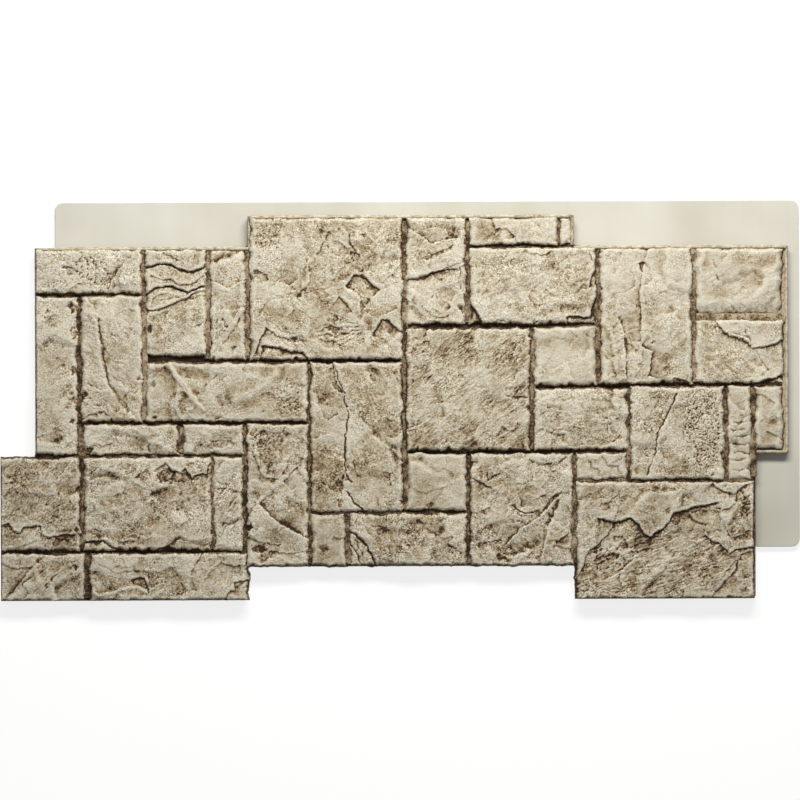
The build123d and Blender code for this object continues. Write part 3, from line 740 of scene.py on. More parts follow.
# %% Stones of the upper left
upper_left = [
    stone("corner_cap", left_end, x_corner_cap - side, y_corner_cap + seam, top_end, HIGH, tone=-0.08,
          open_sides=(0,), seed=1, tilt=(0.004, 0.01), grit=0.42, flake=0.3, marks=[
        ledge([(36, 266), (49, 263), (58, 255), (68, 251)], 0.9, 14, ends=(0, 8)),
        ledge([(60, 266), (68, 266), (75, 269), (77, 274)], 1.6, 9, ends=(4, 4)),
        ledge([(134, 252), (124, 264), (115, 275), (108, 290)], 1.5, 16),
        pits((88, 270), (30, 22), 1.5, 4.6),
        ridge([(60, 282), (66, 289), (80, 285)], 0.6, 2),
    ], stain=[((70, 255), (24, 8), 0.15)]),
    stone("left_upright", left_end, x_left_upright - side, y_step + 1.6, y_corner_cap - seam, MIDDLE,
          tone=-0.05, breaks=0.2, open_sides=(0,), lumps=0.5, seed=2, tilt=(-0.01, 0), swell=1.6,
          chips=(1.5, 7.5, 4, 3), marks=[
        hollow((73, 308), (7, 10), 5, 60, steep=0.7),
        hollow((74, 332), (4, 14), 3, steep=0.7),
        hollow((74, 371), (5, 7), 4),
        hollow((73, 400), (6, 10), 4.5),
        hollow((72, 421), (5, 6), 3.5),
        ledge([(74, 361), (69, 372), (70, 378)], 1, 6, ends=(2, 2)),
        ridge([(39, 311), (46, 316), (55, 313), (62, 314)], 0.9, 2.2),
        ridge([(40, 320), (50, 321)], 0.6, 1.8),
        ledge([(56, 356), (62, 359), (66, 362), (66, 368)], 0.9, 6, ends=(3, 3)),
    ], stain=[((55, 345), (15, 22), 0.16), ((60, 390), (14, 16), 0.14), ((62, 433), (12, 8), 0.14),
             ((74, 312), (6, 12), 0.4), ((74, 334), (4, 14), 0.35)]),
    stone("curved_split", x_left_upright + side, x_corner_cap - side, y_low_strip + seam,
          y_corner_cap - seam, HIGH, tone=-0.08, breaks=0.6, seed=3, flake=0.35, flake_angle=-35, grit=0.26,
          marks=[
        ledge([(138, 421), (127, 409), (118, 398), (110, 388), (106, 375), (102, 352), (99, 332), (98, 315),
              (92, 306)], 1.5, 26, face=2.6, jag=0.5),
        crack([(99, 316), (101, 345), (105, 368), (110, 386), (118, 399), (130, 413)], 1.5, 2.8,
              ends=(4, 3), jag=0.3),
        ridge([(87, 308), (94, 317), (97, 335), (99, 352)], 0.9),
        ridge([(103, 398), (112, 411), (122, 420)], 1, 2.5),
        ledge([(82, 418), (90, 415), (97, 412), (105, 410), (107, 413)], 2, 8),
        hollow((84, 398), (5, 10), 4),
        hollow((139, 378), (4, 6), 3.5),
        grain((100, 360), (30, 70), 0.9, -38, 4.5),
        ledge([(122, 397), (130, 391), (136, 390)], 0.8, 8, ends=(3, 0)),
    ], stain=[((86, 396), (5, 10), 0.5), ((138, 410), (6, 20), 0.15)]),
    stone("stacked", x_corner_cap + side, x_stacked - side, y_stacked + seam + 0.8, top_end, HIGH,
          lumps=0.5, breaks=0.6, seed=4, tilt=(0, 0.008), flake=0.25, grit=0.32, chips=(3, 3, 4.5, 2),
          marks=[
        ledge([(163, 251.5), (171, 256), (179, 260)], 2.4, 5, face=1, ends=(1, 3)),
        ledge([(146, 266.4), (158, 263.3), (171, 264), (182, 269.5), (193, 272.5), (202, 267), (207, 262)],
              3.8, 9, face=1, jag=0.5, lip=0.4),
        ledge([(154, 274), (162, 279), (171, 279.5), (179, 283.5), (190, 284), (198, 279.5), (207, 271.5)],
              1.8, 7, face=0.9, jag=0.6, lip=0.3),
        ledge([(147, 293.5), (156, 287.8), (166, 286.3), (179, 287.8), (188, 292.2), (196, 288),
              (208, 285)], 3.4, 9, face=1, jag=0.6, lip=0.4),
        ledge([(150, 306), (152, 298), (158, 294.5), (168, 293.5), (178, 297)], 1.2, 5, face=0.9, jag=0.5),
        ledge([(154, 305), (160, 299), (170, 298), (180, 297)], 1, 4, face=0.8, jag=0.5),
        ledge([(146, 308), (152, 310), (162, 307.7), (173, 302.4), (185, 298.6), (195, 292.6), (207, 290)],
              3, 40, face=1, jag=0.6, lip=0.4),
        crack([(146, 267), (158, 264), (171, 265), (182, 270.5), (193, 273.5), (202, 268), (207, 263)], 1.8,
              1.6, ends=(0, 0), jag=0.4),
        crack([(147, 294), (156, 288.6), (166, 287), (179, 288.6), (188, 293), (196, 289), (208, 286)], 1.8,
              1.6, ends=(0, 0), jag=0.4),
        hollow((149, 328), (5, 6), 3.5),
        hollow((206, 335), (4, 7), 3),
    ], stain=[((176, 272), (22, 5), 0.12), ((150, 329), (4, 5), 0.4), ((206, 335), (3, 6), 0.35)]),
    stone("narrow_upright", x_stacked + side, x_step_left - side, y_centre + seam, top_end, MIDDLE, seed=5,
          flake=0.25, grit=0.28, marks=[
        ledge([(246, 280), (237, 284), (226, 287.5), (212, 281.5)], 2, 12, face=2, jag=0.5),
        ledge([(244, 309.5), (214, 310.5)], 0.7, 6),
        crack([(241.3, 316), (234.4, 327), (228.3, 337.6), (220.6, 345.3)], 1.3, 1.5, jag=0.4),
        ledge([(220, 346), (229, 338), (235, 327), (241, 316)], 0.9, 9),
        pits((221, 325), (8, 14), 1.3, 4.2),
        hollow((234, 348), (4, 4), 1.8),
    ], stain=[((228, 281), (9, 4), 0.22), ((234, 348), (4, 4), 0.4)]),
    stone("centre_large", x_step_left + side, x_centre - side, y_centre + seam, middle_end, PROUD,
          tone=0.04, seed=6, swell=1, flake=0.35, flake_angle=-20, marks=[
        pits((268, 238), (20, 24), 0.8, 3.2),
        ledge([(296, 218), (294, 232), (295, 246)], 0.8, 8, ends=(3, 4)),
        ledge([(314, 256), (322.7, 242), (328, 231)], 1.8, 12, ends=(5, 2)),
        ledge([(315, 219), (319.6, 228), (328, 231), (336, 230.5), (339, 227)], 1.4, 9, ends=(3, 2)),
        ridge([(335, 222), (345, 232), (349, 238)], 1.1, 2.5),
        hollow((358, 238), (6, 12), -1.6, 10, steep=0.8),
        crack([(349, 233), (350, 245), (357, 254)], 1.2, 1.6),
        ridge([(365, 230), (374, 240), (382, 247)], 0.7, 2),
        ledge([(333, 249), (337, 252), (341, 255)], 1.2, 5, ends=(2, 2)),
        ledge([(350, 250), (356, 253), (361, 255)], 1.6, 6, ends=(2, 2)),
        ledge([(294, 300), (300, 291), (306, 286), (310, 281), (309, 263), (304, 258)], 1.6, 14,
              ends=(3, 5)),
        hollow((297, 295), (5, 4), 1.6),
        ledge([(253, 269), (263, 271), (267.6, 277), (270, 282)], 2.2, 9, ends=(2, 4)),
        crack([(252, 299), (270, 300), (293, 297)], 0.5, 1.4),
        ledge([(338, 296), (345.7, 301.5), (353.5, 311.5)], 2.2, 12, ends=(2, 4)),
        ledge([(345, 288), (350, 281), (353, 274.5), (363, 273.5), (371, 283), (381, 291)], 3, 55,
              ends=(5, 5), lip=0.4, face=1.1, jag=1.1),
        ledge([(362, 269), (366, 276), (371, 283)], 1.4, 6, ends=(2, 2)),
        ledge([(402, 281), (391, 286), (381, 291)], 0.9, 9, ends=(0, 4)),
        ledge([(379, 283), (388, 277), (395, 272.4), (399, 266), (400, 257), (396, 251)], 1.3, 8,
              ends=(5, 3)),
        hollow((385, 262), (13, 16), -0.9, steep=0.8),
        ledge([(371, 335), (376, 328), (381, 320), (389, 319.3), (395, 326), (402, 331)], 3.2, 13,
              ends=(4, 0), face=1.1),
        layers((340, 333), (28, 14), 1.6, 8, 8),
        ledge([(361, 318), (350, 321), (338, 322), (324, 321)], 0.9, 6, ends=(4, 4)),
        ledge([(366, 341), (350, 336), (334, 333), (322, 326)], 1.2, 7, ends=(4, 3)),
        ledge([(254, 352), (262, 335), (266, 327), (276, 335), (287, 337.5), (298, 336)], 2.6, ends=(0, 8)),

        ledge([(260, 345), (275, 346.5), (290, 350.5), (304, 352), (309, 359)], 4.8, 14, ends=(4, 0),
              lip=0.3),
    ], stain=[((270, 240), (20, 22), 0.12), ((298, 318), (13, 16), 0.2), ((388, 328), (8, 8), 0.3),
             ((340, 233), (14, 12), 0.15), ((303, 268), (6, 16), 0.12), ((296, 295), (6, 4), 0.3)]),
]
print("upper left:", *(piece["name"] for piece in upper_left))

# %% Stones of the upper right
upper_right = [
    stone("upper_square", x_centre + side, x_square - side, y_slate + seam, middle_end, HIGH, seed=7,
          flake=0.25, grit=0.28, marks=[
        ledge([(458, 238), (445, 240), (431, 245), (420, 236), (409, 229)], 1.7, face=2),
        ledge([(456, 219), (457, 228), (452, 238)], 1, 8, ends=(0, 3)),
        ledge([(431.5, 273), (427.6, 268), (429, 252.5), (436, 251), (446, 248), (454, 244)], 1.4, 14,
              ends=(0, 6)),
        ledge([(406, 280), (419, 277.5), (431, 273.5)], 3.6, 30, face=1, lip=0.4),
        ledge([(431, 273.5), (444, 270), (459, 269), (464, 265)], 2.2, 26, face=1),
        ledge([(464, 303), (461, 290), (457, 280), (460, 270)], 1.5, 6),
        ledge([(421, 304), (428, 310), (433, 315), (441, 317), (448, 314.5)], 1.8, 6, ends=(4, 3)),
        hollow((414, 300), (6, 7), 1.4),
        hollow((463, 310), (6, 9), 3.5),
    ], stain=[((433, 228), (20, 10), 0.2), ((446, 260), (12, 8), 0.12), ((413, 301), (7, 7), 0.25)]),
    stone("long_cap", x_square + side, x_long_cap - 0.8, top_side + seam, middle_end, MIDDLE, breaks=0.6,
          seed=8, flake=0.2, grit=0.22, chips=(2, 1.5, 2.5, 2), marks=[
        ledge([(492, 214), (493, 221), (495, 228.7), (509, 228.7), (513, 234), (521, 245)], 2, 14,
              face=0.9),
        crack([(536, 222), (541, 233)], 0.6, 1.4),
    ]),
    stone("small_cap", x_long_cap + 1, x_step_right - 3.5, top_side + seam, middle_end, MIDDLE - 0.6,
          breaks=0.6, seed=9, flake=0.2, chips=(1.5, 2, 2.5, 2), marks=[
        ledge([(560, 232), (563, 225), (570, 224)], 0.8, 6),
    ]),
    stone("upper_long", x_square + side, x_long - side, y_slate + seam, top_side - seam, HIGH, lumps=0.6,
          breaks=0.7, seed=10, swell=1.3, flake_angle=25, chips=(3, 3, 5, 2), marks=[
        ledge([(525, 248.5), (531, 253), (543, 254), (553, 249.5)], 2, 16, ends=(2, 2), lip=0.4),
        ledge([(564, 319), (570, 315.6), (589, 317.6), (591, 309), (596, 296)], 4.2, 30, ends=(3, 3),
              face=1),
        ledge([(588, 288), (590, 280), (594, 271), (598, 263)], 3, 10, ends=(4, 2)),
        crack([(589, 253), (593, 263)], 1.6, ends=(2, 2)),
        ledge([(468, 298), (471, 302), (475, 308), (482, 322)], 5.5, 40, face=1.2),
        ledge([(545, 288), (552, 293), (559, 296)], 1.4, 9, ends=(3, 3)),
        hollow((503, 321), (6, 3), 2.5),
        hollow((537, 322), (8, 3), 2.5),
        pits((545, 270), (40, 24), 0.4, 4, 0.45),
    ], stain=[((548, 262), (18, 12), 0.22), ((575, 275), (10, 12), 0.1), ((472, 316), (8, 12), 0.7),
             ((597, 275), (4, 14), 0.5), ((594, 310), (5, 14), 0.6), ((576, 320), (12, 4), 0.4)]),
    stone("notched_upright", x_long + side, x_notched - side, y_right + seam, top_end, PROUD, tone=-0.06,
          breaks=0.6, lumps=0.6, seed=11, swell=0.8, flake=0.2, grit=0.22, tilt=(0.006, 0),
          chips=(5, 3.5, 5, 2), marks=[
        ledge([(647, 249), (646, 256), (645, 262), (642, 275), (640.5, 292), (641.5, 318), (640, 344)], 1.7,
              26, jag=0.5, ends=(0, 5)),
        ledge([(637, 264.8), (641, 262.6), (645.8, 260.6)], 3.8, 14, ends=(1, 1), face=0.9),
        crack([(641.5, 320), (641, 332), (640, 345)], 0.8, 1.2),
        hollow((613, 272), (5, 5), 1.3),
        ledge([(626, 376), (624.6, 350), (624, 335), (621, 324), (617, 316)], 2.2, 14, ends=(0, 6)),
        ledge([(624, 336), (628.5, 343), (638, 350.5)], 1.5, 8, ends=(2, 2)),
        ledge([(647, 376), (649, 367), (651.6, 352), (645, 348), (641, 346)], 2.4, 16, ends=(1, 3)),
        hollow((640, 366), (3.5, 8), 1.2),
        hollow((653.7, 341.8), (2.2, 2.2), 1.2),
        ledge([(604, 352), (612, 362), (618, 378)], 1.2, 8),
        ridge([(606, 322), (614, 340), (616, 372)], 0.8),
        ledge([(673, 377), (681, 378.4), (690, 382)], 3.4, 8, ends=(2, 2)),
        pits((620, 350), (18, 34), 0.4, 4.5),
    ], stain=[((664, 366), (18, 13), 0.42), ((672, 315), (12, 12), 0.18), ((656, 343), (10, 6), 0.2),
             ((632, 336), (6, 14), 0.2), ((603, 330), (3, 12), 0.4), ((612, 280), (8, 8), 0.12)]),
    stone("right_cap", x_notched + side, right_end, y_right_under - 0.4, top_end, MIDDLE + 0.6, tone=-0.1,
          breaks=0.3, lumps=0.6, seed=12, swell=1, flake=0.25, grit=0.16, round_off=4, chips=(2.5, 1, 2, 2),
          marks=[
        bend([(695, 299), (729, 302), (782, 299)], 0.36, 20, 8),
        crack([(713, 259), (715, 265), (718, 269)], 0.8, ends=(3, 3)),
        crack([(716, 274), (719, 281)], 1.3, ends=(2, 2)),
        ledge([(732, 294), (738.6, 291.6), (742.7, 284)], 0.9, 6, ends=(3, 2)),
        crack([(738, 262), (749, 264), (759, 263.8)], 0.5, 1.2),
        crack([(729, 305), (737, 313), (734, 318)], 1, 1.8, ends=(4, 0)),
    ], stain=[((708, 271), (10, 8), 0.15), ((740, 312), (50, 5), 0.2)]),
    stone("right_under", x_notched + side, right_end, y_right + seam, y_right_under - 7, MIDDLE + 0.8,
          lumps=0.5, seed=13, flake=0.3, grit=0.28, chips=(3, 1.5, 6, 2), marks=[
        ledge([(720, 326), (724, 331), (729, 335), (741, 337), (748, 342.5), (751.5, 348), (760, 347),
              (770, 346), (778, 342.5), (783, 340)], 3.4, 26, face=1, lip=0.5, jag=1.2),
        crack([(729, 332.5), (736, 334), (745, 336.5), (749, 340)], 1.3, 1.2, jag=0.4),
        crack([(744, 329), (748, 337), (750, 342), (751.5, 347)], 2, 1.2, ends=(3, 0), jag=0.5),
        crack([(755, 351), (760, 359), (764, 364.5), (770, 371)], 1, ends=(2, 2)),
        ledge([(738, 386), (757, 382), (770, 379), (783, 374)], 7, 20, face=2, ends=(8, 0)),
        grain((735, 365), (24, 16), 1, -35, 4.5),
    ], stain=[((742, 371), (14, 7), 0.2), ((705, 338), (8, 8), 0.15), ((768, 365), (12, 12), 0.12)]),
]
print("upper right:", *(piece["name"] for piece in upper_right))

# %% Stones of the middle
middle = [
    stone("slate", x_centre + side, x_slate - side, y_slate_foot + seam, y_slate - 5, PROUD, tone=0.15,
          breaks=0.4, lumps=0.6, seed=14, swell=0.9, flake=0.55, flake_angle=38, grit=0.27,
          chips=(2.5, 4.5, 7, 2.5), marks=[
        grain((470, 388), (90, 85), 1, 36, 3.8, 6),
        ledge([(423, 340.7), (431, 340)], 1.6, 8, ends=(2, 2)),
        ledge([(503.7, 388.6), (510, 387), (518, 386.2)], 1.8, 10, ends=(3, 3)),
        crack([(505, 395), (515, 397), (527, 397.4)], 1.2, 1.4, ends=(4, 0)),
        crack([(433.5, 371), (428.7, 379), (420.7, 387)], 1, 1.4),
        ledge([(500.5, 425.3), (508.5, 430), (513, 430), (518, 422)], 1.6, 9, ends=(3, 3)),
        ledge([(409.6, 430), (417.5, 428.5)], 1.2, 6, ends=(0, 2)),
        ledge([(440, 402), (452, 395), (466, 388), (474, 380)], 0.9, 12, ends=(6, 8)),
        hollow((488, 400), (15, 9), 1, 20, steep=0.9),
        hollow((528, 407), (4, 4), 3),
    ], stain=[((488, 402), (14, 9), 0.12), ((418, 372), (8, 14), 0.1)]),
    stone("smooth_square", x_slate + side, x_long - side, y_rimmed + seam, y_slate - seam, MIDDLE + 0.4,
          tone=-0.06, breaks=0.3, lumps=0.6, seed=15, flake=0.12, grit=0.14, round_off=3.6,
          chips=(1.5, 1.5, 5, 1.5), marks=[
        crack([(549, 337), (558, 339.5), (567, 339)], 0.5, 1.5),
        ledge([(536, 384), (540, 382.5), (545, 386), (548, 388)], 3, 6, face=1),
        ledge([(564, 387), (568, 383), (574, 384), (577, 388)], 2.6, 6, face=1),
        ledge([(541, 378), (543, 367), (549, 355)], 0.7, 9),
    ], stain=[((545, 375), (8, 10), 0.12), ((538, 345), (4, 10), 0.3), ((538, 368), (4, 9), 0.3),
             ((541, 386), (6, 4), 0.4), ((570, 386), (6, 4), 0.35)]),
    stone("rimmed", x_slate + side, x_pitted - broad + 2.6, y_slate_foot + seam, y_rimmed - seam, HIGH,
          breaks=0.6, seed=16, flake=0.3, chips=(2.5, 6, 5.5, 2), marks=[
        ledge([(534, 401), (560, 399.5), (590, 400), (612, 401), (628, 404)], -1, 26, face=5),
        hollow((578, 421), (44, 20), 1.1, steep=0.9),
        grain((580, 420), (46, 22), 0.9, -15, 5),
        hollow((594.6, 411), (9, 7), 0.8, steep=0.9),
        ledge([(545, 428.5), (553, 432.4), (567.5, 434)], 1.5, 9, ends=(3, 4)),
        crack([(535.6, 433), (543.5, 428.5)], 0.9, 1.4, ends=(0, 3)),
        crack([(605.7, 415.7), (608, 422), (607.3, 434.8)], 1.2, 1.4),
        hollow((585, 438), (3, 2), 1.3),
        hollow((626, 397), (5, 8), 3, steep=0.9),
        ledge([(603, 396), (612, 402), (617, 411)], 1.1, 8, ends=(3, 3)),
    ], stain=[((592, 411), (14, 9), 0.30), ((625, 398), (7, 7), 0.30), ((560, 440), (18, 5), 0.12)]),
    stone("pitted", x_pitted + broad - 2, x_wrinkled - side, y_folded + seam - 2, y_right - seam, HIGH,
          tone=0.02, lumps=0.4, seed=17, flake=0.3, grit=0.34, chips=(3, 3, 4, 2), marks=[
        ledge([(678, 391), (674, 402), (667, 414.4), (661, 426.6), (657.2, 439), (655, 452.7), (650.3, 465),
              (646.5, 477)], 0.9, 34, jag=0.3),
        crack([(678, 391), (674, 402), (667, 414.4), (661, 426.6), (657.2, 439), (655, 452.7), (650.3, 465),
              (646.5, 477)], 2, 1.2, jag=0.3),
        grain((648, 430), (24, 50), 0.8, 50, 4.2),
        pits((704, 432), (30, 56), 1.3, 3.2),
        pits((706, 428), (24, 46), 1, 2.7),
        hollow((636, 470), (7, 5), 1.5),
    ], stain=[((700, 432), (24, 44), 0.14), ((702, 445), (9, 10), 0.16)]),
    stone("ridge", x_corner_cap + side, x_tall - side, y_low_strip + seam, y_centre - seam, HIGH, lumps=0.5,
          breaks=0.5, seed=20, flake=0.2, grit=0.22, chips=(3, 2, 4, 2), marks=[
        ledge([(168, 361), (173, 373), (176.6, 384), (177.5, 391), (175, 409), (178, 416), (183, 421)], 1.2,
              40, face=1),
        ledge([(221, 364), (218, 377), (204, 388), (199, 405.4), (186.4, 389.3), (178, 378), (168, 362)],
              -0.1, 10),
        hollow((196, 374), (25, 10), 2.6, -12, steep=0.8, ragged=0.15),
        hollow((185, 404), (8, 15), 1.2, -20, steep=0.6, ragged=0.15),
        ridge([(166, 362), (178.4, 378.6), (186.4, 389.3), (199, 405.4), (206, 412)], 2.6, 3.6, jag=0.3),
        ledge([(219, 376), (211, 382), (204, 388)], 1.2, 8, ends=(3, 3)),
        ridge([(228, 401), (240, 397.5), (251, 394.6), (268.6, 382), (281, 366)], 2.4, 8, ends=(12, 14),
              jag=0.2),
        ledge([(243, 370), (262, 380), (254, 392), (236, 396)], -0.6, 20),
        pits((288, 396), (18, 24), 0.9, 3.2),
        grain((286, 400), (20, 22), 1.2, 8, 4.6, 3),
        hollow((264, 411), (3, 2.5), 1.5),
        hollow((153.4, 385), (4.5, 4.5), 1.6, steep=0.4),
        hollow((156, 418), (5, 3), 2.5),
        hollow((220, 418.5), (6, 3), 2.5),
        grain((232, 410), (26, 10), 0.7, 0, 4),
    ], stain=[((195, 374), (22, 8), 0.3), ((185, 404), (8, 15), 0.5), ((286, 400), (20, 20), 0.16),
             ((150, 386), (5, 6), 0.12)]),
    stone("low_strip_left", x_outer_left + side, x_low_strip - broad, y_step + 2, y_low_strip - seam,
          MIDDLE, seed=21, flake=0.35, flake_angle=-6, chips=(2, 2, 4, 2), marks=[
        ledge([(84, 454), (90.4, 446), (98, 443.6), (102.6, 446), (110.3, 443.6), (117, 438)], 2, 10,
              ends=(0, 3)),
        crack([(151, 442), (149, 447), (150, 452)], 1.4, ends=(2, 0)),
        hollow((88, 450), (6, 5), 3.4, steep=0.5),
        ledge([(126, 434), (141, 437), (158, 434)], 0.8, 10),
    ], stain=[((88, 450), (6, 5), 0.5), ((163, 441), (6, 5), 0.15)]),
    stone("low_strip_right", x_low_strip + broad, x_wedge - side, y_step + 2, y_low_strip - seam, MIDDLE,
          seed=22, flake=0.3, grit=0.28, chips=(2, 2, 4, 2), marks=[
        ledge([(207, 446), (213, 441), (222, 439.5), (232, 441), (236, 446)], 1.2, 7, ends=(2, 2)),
        ledge([(233, 446), (222, 448), (210, 448)], 0.7, 7, ends=(2, 2)),
        ledge([(187, 436), (197, 439), (205, 436)], 0.8, 8),
    ], stain=[((222, 443), (12, 4), 0.2)]),
    stone("tall", x_tall + side - 2.6, x_centre - side, y_tall_foot + 1, y_centre - seam, PROUD, tone=0.14,
          lumps=0.65, breaks=0.5, seed=23, swell=1, flake=0.35, flake_angle=-30, chips=(3, 4, 4, 2), marks=[
        ledge([(344.5, 476), (345.4, 464.3), (345.4, 450), (347, 434), (348, 421.4), (347, 407),
              (343.6, 394.6), (338, 384), (335, 375), (331, 361)], -3.6, 24, face=1.2, lip=0.3),
        crack([(332, 363), (338, 378), (344.5, 394.6), (348, 409), (347, 430), (344.5, 450), (345.4, 473),
              (352.5, 483)], 2.8, 1.5, ends=(0, 3), jag=0.3),
        crack([(348, 490), (354, 502), (365, 511)], 3, 1.6, ends=(2, 0), jag=0.3),
        hollow((346, 478), (4.5, 5), 2.5),
        ledge([(366.8, 511), (359.6, 507), (354.3, 500), (346, 488)], -3.6, 15, face=1.2),
        ledge([(339, 414), (329.3, 421.4), (324, 418), (320.4, 409), (311, 401)], 1.4, 14, ends=(2, 0)),
        ledge([(381, 443.8), (390, 448.2), (395.4, 452.7), (402, 459)], 1.6, 12, ends=(4, 0)),
        crack([(349.8, 450), (353.4, 455.4), (352.5, 464.3), (357, 475), (363, 477.7)], 1),
        hollow((402, 421), (2.5, 8), 2),
        hollow((403, 471), (4, 4), 3),
        hollow((403, 502), (4, 4), 3),
        ledge([(403, 390), (396, 381), (391, 372)], 1.2, 12, ends=(0, 4)),
        grain((374, 410), (30, 50), 0.6, -55, 5),
    ], stain=[((376, 367), (16, 10), 0.12), ((331, 490), (14, 20), 0.2), ((330, 440), (12, 30), 0.06),
             ((395, 395), (6, 10), 0.12)]),
]
print("middle:", *(piece["name"] for piece in middle))

